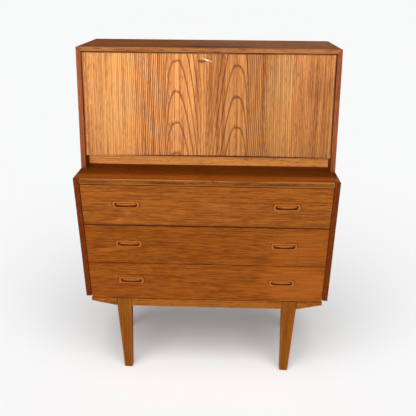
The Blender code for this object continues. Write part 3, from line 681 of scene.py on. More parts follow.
@dataclass(frozen=True)
class Metal:
    """Metal with fine scratches and a dulled skin.

    Attributes:
        name: The material's name.
        clean: Colour where it is rubbed bright.
        dull: Colour where it has tarnished.
        roughness: Roughness of the bright metal.
        slot: The record's material slot; not used in this script.
        metallic: How much of the surface is bare metal.
    """

    name: str
    clean: Colour
    dull: Colour
    roughness: float
    slot: str
    metallic: float = 1.0

    def material(self) -> bpy.types.Material:
        """Builds the material.

        Returns:
            The material.
        """
        recipe = Recipe(self.name)
        tarnish = recipe.noise(recipe.stretched((70.0, 70.0, 70.0)), 5.0, 0.65).between(0.38, 0.66)
        scratches = recipe.noise(recipe.stretched((60.0, 60.0, 2600.0), turn=(0.5, 0.8, 0.1)), 2.0, 0.6)
        fine = recipe.noise(recipe.stretched((900.0, 900.0, 900.0)), 2.0)
        colour = recipe.blend(tarnish * 0.8, self.clean, self.dull)
        roughness = tarnish * 0.22 + scratches * 0.10 + self.roughness
        relief = recipe.bump(scratches * 0.7 + fine * 0.3, 0.00002)
        return recipe.finish(Base_Color=colour, Roughness=roughness, Metallic=self.metallic, Normal=relief)


Finish = Teak | PlainWood | Metal


@cache
def material_of(finish: Finish) -> bpy.types.Material:
    """The finish's material, built once."""
    return finish.material()


HONEY: Colour = (1.0, 0.43, 0.135)
AMBER: Colour = (0.44, 0.122, 0.030)
CHESTNUT: Colour = (0.36, 0.115, 0.024)
RUSSET: Colour = (0.18, 0.046, 0.008)
UMBER: Colour = (0.075, 0.018, 0.005)

FLAP_FACE = Teak(
    "flap_veneer", Axis.Z, Axis.X, HONEY, AMBER, (0.11, 0.022, 0.014), Arches(), lines=0.90, streaks=0.95,
    dashes=0.34, width=0.008, run=0.9, slot="teak_flap",
    marks=(
        Mark((-0.022, -0.099, 1.0715), (0.016, 0.02, 0.0060), 0.70),
        Mark((0.345, -0.099, 0.830), (0.120, 0.05, 0.26), 0.62, Tone.DEEP, 0.3),
        Mark((0.340, -0.099, 1.050), (0.120, 0.05, 0.12), 0.30, Tone.DEEP, 0.3),
        Mark((0.120, -0.099, 0.930), (0.180, 0.05, 0.45), 0.58, Tone.DEEP, 0.3),
        Mark((-0.020, -0.099, 0.900), (0.110, 0.05, 0.26), 0.12, Tone.DEEP, 0.3),
        Mark((-0.300, -0.099, 0.960), (0.090, 0.05, 0.40), 0.14, Tone.BLEACHED, 1.2),
        Mark((0.225, -0.099, 0.900), (0.060, 0.05, 0.34), 0.14, Tone.BLEACHED, 1.2),
        # painted shade: dark lines along the flap's top, bottom and sides, where the gaps round it fall dark
        Mark((0.0, -0.099, 1.0963), (0.80, 0.05, 0.0034), 0.95, ragged=0.3),
        Mark((0.06, -0.099, 0.7690), (0.46, 0.05, 0.0060), 1.00, ragged=0.5),
        Mark((-0.3924, -0.099, 0.93), (0.0040, 0.05, 0.36), 0.95, ragged=0.3),
        Mark((0.3924, -0.099, 0.93), (0.0040, 0.05, 0.36), 0.95, ragged=0.3),
    ),
)
CABINET_FACE = Teak("cabinet_veneer", Axis.Z, Axis.Y, CHESTNUT, RUSSET, UMBER, start=1.3)
TOP_FACE = Teak(
    "top_veneer", Axis.X, Axis.Y, CHESTNUT, RUSSET, UMBER, Rings(middle=0.06, depth=0.02, ring=0.012),
    start=2.1, marks=(Mark((0.02, -0.045, 1.112), (0.16, 0.038, 0.02), 0.95, ragged=1.2),),
)
UPRIGHT_EDGE = Teak(
    "upright_lipping", Axis.Z, Axis.X, (0.42, 0.115, 0.038), (0.20, 0.050, 0.015), UMBER, lines=0.2, start=3.4
)
LEVEL_EDGE = Teak(
    "level_lipping", Axis.X, Axis.Z, (0.54, 0.205, 0.062), (0.28, 0.09, 0.024), UMBER, lines=0.3, stain=0.3,
    start=4.2,
)
CHEST_EDGE = Teak(
    "chest_lipping", Axis.Z, Axis.X, (0.20, 0.036, 0.001), (0.06, 0.010, 0.001), UMBER, lines=0.2, edge_wear_and_highlight=0.5,
    width=0.006, start=5.1
)
CHEST_FACE = Teak("chest_veneer", Axis.Z, Axis.Y, CHESTNUT, RUSSET, UMBER, start=6.6)
LEDGE_FACE = Teak(
    "ledge_veneer", Axis.X, Axis.Y, (0.40, 0.103, 0.006), (0.24, 0.050, 0.002), UMBER, dashes=0.3, start=7.7
)
LEDGE_EDGE = Teak(
    "ledge_lipping", Axis.X, Axis.Z, (0.32, 0.100, 0.014), (0.14, 0.038, 0.005), UMBER, lines=0.3, stain=0.4,
    # a strong pale arris: partly rubbing and partly a painted highlight line along the front edge
    edge_wear_and_highlight=1.8, start=4.7,
    marks=(
        Mark((0.0205, -0.2215, 0.7235), (0.0085, 0.006, 0.0038), 1.0),
        Mark((-0.125, -0.222, 0.711), (0.080, 0.03, 0.009), 0.60),
        Mark((0.218, -0.222, 0.712), (0.070, 0.03, 0.008), 0.50),
    ),
)
# painted light: the plinth's colour is brightened to make up for the shade it lies in under the flap
PLINTH_FACE_PAINTED_LIGHT = Teak(
    "plinth_veneer", Axis.X, Axis.Z, (0.98, 0.395, 0.095), (0.62, 0.21, 0.04), UMBER, lines=0.2, dashes=0.3,
    start=8.9,
)
INNER_FACE = Teak("fitment_veneer", Axis.X, Axis.Z, CHESTNUT, RUSSET, UMBER, lines=0.4, start=9.3)
LEG_WOOD = Teak(
    "leg_wood", Axis.Z, Axis.X, (0.300, 0.090, 0.0075), (0.16, 0.041, 0.003), UMBER, lines=0.15, dashes=0.15,
    start=10.2, slot="teak_solid",
)
RAIL_WOOD = Teak(
    "rail_wood", Axis.X, Axis.Z, (0.43, 0.136, 0.016), (0.24, 0.064, 0.006), UMBER, lines=0.2, start=11.9,
    slot="teak_solid",
)
PULL_WOOD = Teak(
    "pull_wood", Axis.X, Axis.Z, (0.50, 0.150, 0.022), (0.33, 0.088, 0.011), UMBER, lines=0.2, dashes=0.2,
    scuffs=0.0, edge_wear_and_highlight=0.8, width=0.005, start=12.4, slot="teak_solid",
)
BOX_WOOD = PlainWood("drawer_box_wood", Axis.Y, (0.60, 0.42, 0.24), (0.42, 0.26, 0.13))
BOX_BACK_WOOD = PlainWood("drawer_back_wood", Axis.X, (0.60, 0.42, 0.24), (0.42, 0.26, 0.13))
THIN_BOARD = PlainWood("back_board", Axis.Z, (0.50, 0.33, 0.18), (0.36, 0.21, 0.10), dust=0.5)
BRASS = Metal("dulled_brass", (0.80, 0.66, 0.40), (0.42, 0.30, 0.13), 0.22, "brass")
KEY_BRASS = Metal("key_brass", (0.86, 0.76, 0.47), (0.55, 0.43, 0.22), 0.42, "brass", 0.35)
STEEL = Metal("lock_steel", (0.55, 0.54, 0.52), (0.26, 0.24, 0.22), 0.28, "steel")


def drawer_face(number: int) -> Teak:
    """The veneer of one drawer front, each cut a little further along the same log.

    Args:
        number: The drawer's number, from 1 at the top.

    Returns:
        The veneer.
    """
    figures = (
        Rings(middle=0.60, drift=0.03, depth=0.20, slant=0.030, ring=0.0065),
        Rings(middle=0.46, drift=-0.05, depth=0.16, slant=0.045, ring=0.0070),
        Rings(middle=0.30, drift=0.04, depth=0.17, slant=0.035, ring=0.0070),
    )
    pale, deep = (
        ((0.400, 0.114, 0.0130), (0.125, 0.030, 0.003)),
        ((0.355, 0.092, 0.0060), (0.100, 0.021, 0.001)),
        ((0.370, 0.096, 0.0065), (0.115, 0.022, 0.001)),
    )[number - 1]
    marks = (
        (
            Mark((-0.252, -0.205, 0.606), (0.020, 0.1, 0.010), 0.30, Tone.BLEACHED, 3.0),
            Mark((-0.275, -0.205, 0.578), (0.014, 0.1, 0.008), 0.30, Tone.BLEACHED, 3.0),
            # painted shade along the gap under drawer 1
            Mark((0.0, -0.190, 0.5606), (0.80, 0.1, 0.0036), 0.95, Tone.DARK, 0.3),
        ),
        (
            Mark((-0.345, -0.170, 0.474), (0.034, 0.1, 0.005), 0.55),
            Mark((-0.325, -0.170, 0.464), (0.040, 0.1, 0.009), 0.35, Tone.BLEACHED, 0.8),
            Mark((0.300, -0.170, 0.480), (0.140, 0.1, 0.090), 0.25, Tone.BLEACHED, 0.4),
            Mark((0.092, -0.170, 0.545), (0.006, 0.1, 0.002), 0.6),
        ),
        (
            Mark((-0.250, -0.150, 0.376), (0.020, 0.1, 0.006), 0.28, Tone.BLEACHED, 3.0),
            Mark((0.300, -0.150, 0.340), (0.160, 0.1, 0.090), 0.30, Tone.BLEACHED, 0.4),
            Mark((0.064, -0.120, 0.2745), (0.0045, 0.1, 0.0022), 0.9, Tone.DARK, 0.6),
        ),
    )[number - 1]
    return Teak(
        f"drawer_{number}_veneer", Axis.X, Axis.Z, pale, deep, UMBER, figures[number - 1], lines=0.22,
        streaks=0.88, dashes=0.34, width=0.006, run=0.16, scuffs=0.60, start=20.0 + number * 1.7, marks=marks,
        slot="teak_drawer",
    )


# --- the modelling bench --------------------------------------------------------------------------
def deselect() -> None:
    """Leaves nothing selected."""
    bpy.ops.object.select_all(action="DESELECT")


def take(piece: Piece) -> Piece:
    """Makes piece the only one selected, and active.

    Args:
        piece: The piece to work on.

    Returns:
        The piece.
    """
    deselect()
    piece.select_set(True)
    bpy.context.view_layer.objects.active = piece
    return piece


def settle(piece: Piece) -> Piece:
    """Moves a piece's place, turn and size into its mesh.

    Args:
        piece: The piece to work on.

    Returns:
        The piece.
    """
    take(piece)
    bpy.ops.object.transform_apply(location=True, rotation=True, scale=True)
    return piece


def block(name: str, low: Sequence[float], high: Sequence[float]) -> Piece:
    """A box between two corners.

    Args:
        name: Its name.
        low: Its lowest corner.
        high: Its highest corner.

    Returns:
        The box.
    """
    low, high = Vector(low), Vector(high)
    deselect()
    bpy.ops.mesh.primitive_cube_add(size=1.0, location=(low + high) / 2, scale=high - low)
    piece = bpy.context.object
    piece.name = name
    return settle(piece)


def drum(
    name: str, centre: Sequence[float], radius: float, length: float, axis: Axis, sides: int = 32
) -> Piece:
    """A cylinder about centre, along an axis.

    Args:
        name: Its name.
        centre: Its middle.
        radius: Its radius.
        length: Its length.
        axis: The axis that it follows.
        sides: Faces round it.

    Returns:
        The cylinder.
    """
    turns = {Axis.X: (0.0, math.pi / 2, 0.0), Axis.Y: (math.pi / 2, 0.0, 0.0), Axis.Z: (0.0, 0.0, 0.0)}
    deselect()
    bpy.ops.mesh.primitive_cylinder_add(
        vertices=sides, radius=radius, depth=length, location=centre, rotation=turns[axis]
    )
    piece = bpy.context.object
    piece.name = name
    return settle(piece)


@contextmanager
def editing(piece: Piece, mode: str = "EDGE") -> Iterator[None]:
    """Edit mode on one piece, with nothing selected at first.

    Args:
        piece: The piece to edit.
        mode: VERT, EDGE or FACE.

    Yields:
        Nothing: the operators act on the piece until the block ends.
    """
    take(piece)
    bpy.ops.object.mode_set(mode="EDIT")
    bpy.ops.mesh.select_mode(type=mode)
    bpy.ops.mesh.select_all(action="DESELECT")
    yield
    bpy.ops.object.mode_set(mode="OBJECT")


def pick_faces(piece: Piece, wanted: FaceTest) -> None:
    """Selects the faces that pass a test, in edit mode.

    Args:
        piece: The piece to work on.
        wanted: The test.
    """
    mesh = bmesh.from_edit_mesh(piece.data)
    for face in mesh.faces:
        face.select_set(wanted(face))
    bmesh.update_edit_mesh(piece.data)


def pick_edges(piece: Piece, wanted: EdgeTest) -> None:
    """Selects the edges that pass a test, in edit mode.

    Args:
        piece: The piece to work on.
        wanted: The test.
    """
    mesh = bmesh.from_edit_mesh(piece.data)
    for edge in mesh.edges:
        edge.select_set(wanted(edge))
    bmesh.update_edit_mesh(piece.data)


def turned(edge: bmesh.types.BMEdge) -> bool:
    """Whether an edge is an outer one that turns sharply enough to be rounded."""
    least = math.radians(OUTER_TURN)
    return len(edge.link_faces) == 2 and edge.is_convex and edge.calc_face_angle(0.0) > least


def along(edge: bmesh.types.BMEdge, axis: Axis) -> bool:
    """Whether an edge runs along an axis."""
    way = edge.verts[1].co - edge.verts[0].co
    return abs(way[axis.value]) > ALIGNED * way.length


def ends_pass(edge: bmesh.types.BMEdge, test: PlaceTest) -> bool:
    """Whether both ends of an edge pass a test on their place."""
    return all(test(vert.co) for vert in edge.verts)


def outer_edges_where(test: PlaceTest) -> EdgeTest:
    """A test for outer edges with both ends where a test on places holds."""
    return lambda edge: turned(edge) and ends_pass(edge, test)


def bevel(piece: Piece, width: float, segments: int = 2, wanted: EdgeTest = turned) -> Piece:
    """Rounds the wanted edges and marks the new faces, which the teak paints paler for rubbing and as a painted
    highlight.

    Args:
        piece: The piece to round.
        width: Width of the rounding.
        segments: Faces across it.
        wanted: The test that an edge has to pass.

    Returns:
        The piece.
    """
    with editing(piece):
        mesh = bmesh.from_edit_mesh(piece.data)
        if mesh.faces.layers.float.get(ARRIS) is None:
            mesh.faces.layers.float.new(ARRIS)
        flats = [face.normal.copy() for face in mesh.faces]
        pick_edges(piece, wanted)
        bpy.ops.mesh.bevel(offset=width, segments=segments, profile=0.5, affect="EDGES", clamp_overlap=True)
        mesh = bmesh.from_edit_mesh(piece.data)
        layer = mesh.faces.layers.float[ARRIS]
        for face in mesh.faces:
            if all(face.normal.dot(flat) < SAME_WAY for flat in flats):
                face[layer] = 1.0
        bmesh.update_edit_mesh(piece.data)
    return piece


def paint_gap_shade(piece: Piece, amount: float, wanted: FaceTest) -> Piece:
    """Marks the wanted faces for painted shade, the shade that falls in gaps and hollows.

    Args:
        piece: The piece to mark.
        amount: How dark they are.
        wanted: The test that a face has to pass.

    Returns:
        The piece.
    """
    with editing(piece, "FACE"):
        mesh = bmesh.from_edit_mesh(piece.data)
        layer = mesh.faces.layers.float.get(GAP_SHADE) or mesh.faces.layers.float.new(GAP_SHADE)
        for face in mesh.faces:
            if wanted(face):
                face[layer] = amount
        bmesh.update_edit_mesh(piece.data)
    return piece


def slice_off(piece: Piece, point: Sequence[float], outwards: Sequence[float]) -> Piece:
    """Cuts away what lies beyond a plane and closes the cut.

    Args:
        piece: The piece to work on.
        point: A point in the plane.
        outwards: The plane's normal, towards what goes.

    Returns:
        The piece.
    """
    with editing(piece):
        bpy.ops.mesh.select_all(action="SELECT")
        bpy.ops.mesh.bisect(
            plane_co=point, plane_no=outwards, use_fill=True, clear_outer=True, threshold=1e-6
        )
    return piece


def lean_foot(piece: Piece, shift: float) -> Piece:
    """Moves a block's lowest face back by shift, so that the block leans.

    Args:
        piece: The piece to work on.
        shift: How far the face moves.

    Returns:
        The piece.
    """
    with editing(piece, "FACE"):
        pick_faces(piece, lambda face: face.normal.z < -SQUARE_ON)
        bpy.ops.transform.translate(value=(0.0, shift, 0.0))
    return piece


def combine(piece: Piece, other: Piece, operation: str) -> Piece:
    """Cuts other from piece, or joins it on, and removes other.

    Args:
        piece: The piece to work on.
        other: The piece that goes.
        operation: DIFFERENCE or UNION.

    Returns:
        The piece.
    """
    take(piece)
    boolean = piece.modifiers.new(operation.lower(), "BOOLEAN")
    boolean.operation = operation
    boolean.solver = "EXACT"
    boolean.object = other
    bpy.ops.object.modifier_apply(modifier=boolean.name)
    bpy.data.objects.remove(other, do_unlink=True)
    return piece


def cut(piece: Piece, *cutters: Piece) -> Piece:
    """Cuts each cutter from piece.

    Args:
        piece: The piece to work on.
        cutters: The cutters, which go.

    Returns:
        The piece.
    """
    for cutter in cutters:
        combine(piece, cutter, "DIFFERENCE")
    return piece


def smooth(piece: Piece, angle: float = 35.0) -> Piece:
    """Shades a piece smooth, with flat faces kept flat and edges above angle degrees kept sharp.

    Args:
        piece: The piece to work on.
        angle: The angle in degrees.

    Returns:
        The piece.
    """
    take(piece)
    bpy.ops.object.shade_smooth_by_angle(angle=math.radians(angle))
    weighted = piece.modifiers.new("weighted", "WEIGHTED_NORMAL")
    weighted.keep_sharp = True
    weighted.weight = 100
    bpy.ops.object.modifier_apply(modifier=weighted.name)
    return piece


def copy_of(piece: Piece, name: str) -> Piece:
    """A copy with its own mesh.

    Args:
        piece: The piece to copy.
        name: The copy's name.

    Returns:
        The copy.
    """
    twin = piece.copy()
    twin.data = piece.data.copy()
    twin.name = name
    bpy.context.scene.collection.objects.link(twin)
    return twin


def across_sides(near: float, far: float, way: int) -> tuple[float, float]:
    """Two distances from the desk's middle as low and high X on one side of it."""
    return tuple(sorted((way * near, way * far)))


def lipped(
    name: str, low: Vector, high: Vector, lipping: float, part: str = "lipping"
) -> tuple[Piece, Piece]:
    """A board in two: its panel and, a hairline before it, the solid strip on its front edge.

    Args:
        name: What both names start with.
        low: The board's lowest corner.
        high: Its highest corner.
        lipping: Depth of the strip.
        part: What the strip's name ends with.

    Returns:
        The panel and the strip.
    """
    split = low.y + lipping
    panel = block(f"{name}_panel", (low.x, split + HAIRLINE, low.z), high)
    return panel, block(f"{name}_{part}", low, (high.x, split, high.z))


# --- what the sub-assemblies share ----------------------------------------------------------------
@dataclass
class SubAssembly:
    """A group of pieces that ride on one body.

    Attributes:
        body: The CAD body that they ride on.
    """

    body: str = CARCASE

    def hand_over(self, piece: Piece, finish: Finish, *nodes: str) -> Piece:
        """Dresses a finished piece and ties it to the frame.

        Args:
            piece: The finished piece.
            finish: Its finish.
            nodes: The CAD nodes that it stands for.

        Returns:
            The piece.
        """
        piece.data.materials.clear()
        piece.data.materials.append(material_of(finish))
        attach(piece, self.body)
        if nodes:
            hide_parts(*nodes)
        LOG.info("%s: %d faces", piece.name, len(piece.data.polygons))
        return piece

    @staticmethod
    def dress(node: str, finish: Finish) -> None:
        """Gives a CAD node that stays as it is a better material.

        Args:
            node: The node.
            finish: Its finish.
        """
        material = material_of(finish)
        for slot in frame["nodes"][node].material_slots:
            slot.material = material
        LOG.info("%s: kept, in %s", node, finish.name)


# --- the cabinet ----------------------------------------------------------------------------------
@dataclass
class CabinetCase(SubAssembly):
    """The cabinet's sides and top, mitred together and lipped in front, its floor, plinth and back."""

    lipping: float = 0.006
    edge: float = 0.0009
    play: float = 0.0006
    mortise_depth: float = 0.009

    def build(self) -> None:
        """Makes every piece of the case."""
        for name, way in SIDES:
            self.make_side(name, way)
        self.make_top()
        self.make_floor()
        low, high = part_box("cabinet_plinth")
        plinth = smooth(bevel(block("plinth_rail", low, high), self.edge))
        self.hand_over(plinth, PLINTH_FACE_PAINTED_LIGHT, "cabinet_plinth")
        self.dress("cabinet_back", THIN_BOARD)

    def make_side(self, name: str, way: int) -> None:
        """A side panel and the solid lipping on its front edge, both cut to the mitre.

        Args:
            name: left or right.
            way: -1 on the left and 1 on the right.
        """
        node = f"cabinet_side_{name}"
        low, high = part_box(node)
        thickness, drop = high.x - low.x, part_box("cabinet_top")[1].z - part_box("cabinet_top")[0].z
        outer = Vector((high.x if way > 0 else low.x, 0.0, high.z))
        mitre = Vector((-way * drop, 0.0, thickness)).normalized()
        panel, strip = lipped(node, low, high, self.lipping)
        for piece, finish, nodes in ((panel, CABINET_FACE, (node,)), (strip, UPRIGHT_EDGE, ())):
            slice_off(piece, outer, mitre)
            smooth(bevel(piece, self.edge))
            self.hand_over(piece, finish, *nodes)

    def make_top(self) -> None:
        """The top panel with the strike's recess, and its lipping."""
        node = "cabinet_top"
        low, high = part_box(node)
        side_low, side_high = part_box("cabinet_side_right")
        thickness, drop = side_high.x - side_low.x, high.z - low.z
        panel, strip = lipped(node, low, high, self.lipping)
        strike_low, strike_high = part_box("strike_plate")
        bolt_low, bolt_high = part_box("lock_bolt")
        gap = Vector((self.play, self.play, self.play))
        recess = block("recess", strike_low - gap - Vector((0.0, 0.0, self.edge)), strike_high + gap)
        mortise = block("mortise", bolt_low - gap, (*(bolt_high + gap).xy, low.z + self.mortise_depth))
        cut(panel, recess, mortise)
        for piece, finish, nodes in ((panel, TOP_FACE, (node,)), (strip, LEVEL_EDGE, ())):
            for _, way in SIDES:
                corner = Vector((way * high.x, 0.0, high.z))
                slice_off(piece, corner, Vector((way * drop, 0.0, -thickness)).normalized())
            smooth(bevel(piece, self.edge / 2))
            self.hand_over(piece, finish, *nodes)

    def make_floor(self) -> None:
        """The cabinet's floor, lipped in front."""
        low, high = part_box("cabinet_floor")
        panel, strip = lipped("cabinet_floor", low, high, self.lipping)
        self.hand_over(smooth(bevel(panel, self.edge / 2)), INNER_FACE, "cabinet_floor")
        self.hand_over(smooth(bevel(strip, self.edge * 2, 3)), LEVEL_EDGE)


@dataclass
class Pigeonholes(SubAssembly):
    """The shelf and its two dividers, with rounded solid front edges."""

    lipping: float = 0.005
    rounding: float = 0.0035

    def build(self) -> None:
        """Makes the shelf and the dividers."""
        for node in ("pigeonhole_shelf", "pigeonhole_divider_left", "pigeonhole_divider_right"):
            low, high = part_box(node)
            panel, nose = lipped(node, low, high, self.lipping, "nose")
            front = low.y + TOUCH
            bevel(nose, self.rounding, 4, outer_edges_where(lambda point: point.y < front))
            self.hand_over(smooth(bevel(panel, HAIRLINE)), INNER_FACE, node)
            self.hand_over(smooth(nose), LEVEL_EDGE if "shelf" in node else UPRIGHT_EDGE)


@dataclass
class FallFlap(SubAssembly):
    """The flap: a veneered board with a keyhole in front and the lock's mortise inside."""

    body: str = FLAP
    edge: float = 0.0009
    play: float = 0.0003
    past: float = 0.004
    keyhole_radius: float = 0.0032
    keyhole_slot: tuple[float, float] = (0.0030, 0.0085)
    # how dark the painted shade is on the flap's edge faces, in the gaps round it
    grime: float = 0.50
    edge_on: float = 0.3

    def build(self) -> None:
        """Makes the board and cuts its openings."""
        low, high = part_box("flap_panel")
        board = bevel(block("flap_board", low, high), self.edge, 3)
        case_low, case_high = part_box("lock_case")
        gap = Vector((self.play, self.play, self.play))
        mortise = block("mortise", case_low - gap, case_high + Vector((self.play, self.past, self.past)))
        key = next(joint for joint in frame["joints"] if joint["name"] == "key_turn")["pos_m"]
        width, length = self.keyhole_slot
        middle = (key[0], (low.y + key[1]) / 2, key[2])
        hole = drum("hole", middle, self.keyhole_radius, key[1] - low.y + 2 * self.past, Axis.Y)
        slot_low = (key[0] - width / 2, low.y - self.past, key[2] - length)
        slot = block("slot", slot_low, (key[0] + width / 2, key[1] + self.past, key[2]))
        cut(board, mortise, hole, slot)
        for name, _ in SIDES:
            plate_low, plate_high = self.plate(name)
            cut(board, block("pocket", plate_low - gap, plate_high + gap))
        # painted shade on the flap's edge faces, in the gaps round it
        paint_gap_shade(board, self.grime, lambda face: abs(face.normal.y) < self.edge_on)
        self.hand_over(smooth(board), FLAP_FACE, "flap_panel")

    @staticmethod
    def plate(name: str) -> tuple[Vector, Vector]:
        """The pivot plate's corners, without its pin.

        Args:
            name: left or right.

        Returns:
            Its lowest and its highest corner.
        """
        low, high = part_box(f"flap_pivot_{name}")
        flap_low, flap_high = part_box("flap_panel")
        low.x, high.x = max(low.x, flap_low.x), min(high.x, flap_high.x)
        return low, high


@dataclass
class Chest(SubAssembly):
    """The chest's leaning sides, lipped in front, and the ledge board with its solid front edge."""

    lipping: float = 0.008
    ledge_lipping: float = 0.012
    edge: float = 0.0009
    slope: float = 0.0

    def build(self) -> None:
        """Makes the sides and the ledge."""
        for name, _ in SIDES:
            self.make_side(name)
        self.make_ledge()
        self.dress("chest_bottom", THIN_BOARD)
        self.dress("chest_back", THIN_BOARD)
        for number in range(1, 4):
            for name, _ in SIDES:
                self.dress(f"runner_{number}_{name}", BOX_WOOD)

    def make_side(self, name: str) -> None:
        """A side panel behind a lipping that follows the leaning front.

        Args:
            name: left or right.
        """
        node = f"chest_side_{name}"
        low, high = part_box(node)
        low.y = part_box("ledge_board")[0].y
        panel, strip = self.leaning(node, low, high, self.lipping)
        self.hand_over(smooth(bevel(panel, self.edge)), CHEST_FACE, node)
        self.hand_over(smooth(bevel(strip, self.edge, 3)), CHEST_EDGE)

    def leaning(self, name: str, low: Vector, high: Vector, lipping: float) -> tuple[Piece, Piece]:
        """A lipped board whose front leans with the drawers.

        Args:
            name: What both names start with.
            low: The board's lowest corner.
            high: Its highest corner.
            lipping: Depth of the strip.

        Returns:
            The panel and the strip.
        """
        drop = (high.z - low.z) * self.slope
        split = low.y + lipping
        strip = lean_foot(block(f"{name}_lipping", low, (high.x, split, high.z)), drop)
        panel = block(f"{name}_panel", (low.x, split + HAIRLINE, low.z), high)
        with editing(panel):
            pick_edges(panel, lambda edge: ends_pass(edge, lambda p: p.y < 0.0 and p.z < low.z + NEAR))
            bpy.ops.transform.translate(value=(0.0, drop, 0.0))
        return panel, strip

    def make_ledge(self) -> None:
        """The ledge board and its lipping, whose face leans with the drawers."""
        low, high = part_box("ledge_board")
        panel, strip = self.leaning("ledge", low, high, self.ledge_lipping)
        self.hand_over(smooth(bevel(panel, self.edge / 3)), LEDGE_FACE, "ledge_board")
        self.hand_over(smooth(bevel(strip, self.edge * 4, 3)), LEDGE_EDGE)


@dataclass
class PullPattern:
    """The drawer pull, modelled once: a rounded block with a lens-shaped lip over a stadium hollow.

    X runs along the drawer, Y into it and Z up its face, from the middle of the pull on that face.
    """

    width: float = 0.0845
    height: float = 0.0236
    corner: float = 0.0080
    proud: float = 0.0015
    depth: float = 0.0145
    hollow: tuple[float, float, float] = (0.0715, 0.0160, 0.0132)
    hollow_rise: float = -0.0006
    hollow_round: float = 0.99
    lip: Triple = (0.0325, 0.0048, 0.0044)
    lip_place: tuple[float, float] = (0.0038, -0.0008)
    web: tuple[float, float] = (0.0034, 0.0070)
    web_width: float = 0.050
    web_inset: float = 0.6
    rim_edge: float = 0.0009
    past: float = 0.004
    # painted shade in the hollow: faces deeper than this get it, at this darkness
    shade_depth: float = 0.0055
    grime: float = 0.72
    sharp: float = 40.0

    @staticmethod
    def rounded_block(name: str, size: Triple, rise: float, front: float, corner: float) -> Piece:
        """A block of this width, height and depth behind front, with its four corners rounded.

        Args:
            name: Its name.
            size: Its width, height and depth.
            rise: How high its middle lies.
            front: Where its front lies.
            corner: Radius of its corners.

        Returns:
            The block.
        """
        width, height, depth = size
        low = (-width / 2, front, rise - height / 2)
        piece = block(name, low, (width / 2, front + depth, rise + height / 2))
        return bevel(piece, corner, 8, lambda edge: along(edge, Axis.Y))

    def make_lip(self) -> Piece:
        """The lens-shaped lip, on a web that hangs from the hollow's top and leaves a cove above the lip.

        Returns:
            The lip with its web.
        """
        deselect()
        set_in, rise = self.lip_place
        bpy.ops.mesh.primitive_uv_sphere_add(
            segments=64, ring_count=32, radius=1.0, location=(0.0, set_in, rise), scale=self.lip
        )
        lip = settle(bpy.context.object)
        top = self.hollow_rise + self.hollow[1] / 2 + self.rim_edge
        front, back = self.web
        web = block("web", (-self.web_width / 2, front, rise), (self.web_width / 2, back, top))
        with editing(web, "FACE"):
            pick_faces(web, lambda face: face.normal.z > SQUARE_ON)
            spread = (self.hollow[0] - self.hollow[1] * self.web_inset) / self.web_width
            bpy.ops.transform.resize(value=(spread, 1.0, 1.0), center_override=(0.0, front, top))
        return combine(lip, web, "UNION")

    def build(self) -> Piece:
        """Models the pull and returns it.

        Returns:
            The pull.
        """
        size = (self.width, self.height, self.depth + self.proud)
        pull = self.rounded_block("pull_pattern", size, 0.0, -self.proud, self.corner)
        front = -self.proud + TOUCH
        bevel(pull, self.rim_edge, 3, outer_edges_where(lambda point: point.y < front))
        width, height, depth = self.hollow
        cutter_size = (width, height, depth + self.past)
        corner = height / 2 * self.hollow_round
        cutter = self.rounded_block("hollow", cutter_size, self.hollow_rise, -self.past, corner)
        cut(pull, cutter)

        def inner_rim(edge: bmesh.types.BMEdge) -> bool:
            """Whether an edge is on the rim of the hollow.

            Args:
                edge: The edge.

            Returns:
                Whether it is.
            """
            start = edge.verts[0].co
            inside = abs(start.x) < width / 2 + NEAR and abs(start.z - self.hollow_rise) < height / 2 + NEAR
            return turned(edge) and inside and ends_pass(edge, lambda p: p.y < front)

        bevel(pull, self.rim_edge, 3, inner_rim)
        combine(pull, self.make_lip(), "UNION")
        # painted shade in the hollow behind the lip
        paint_gap_shade(pull, self.grime, lambda face: face.calc_center_median().y > self.shade_depth)
        return smooth(pull, self.sharp)


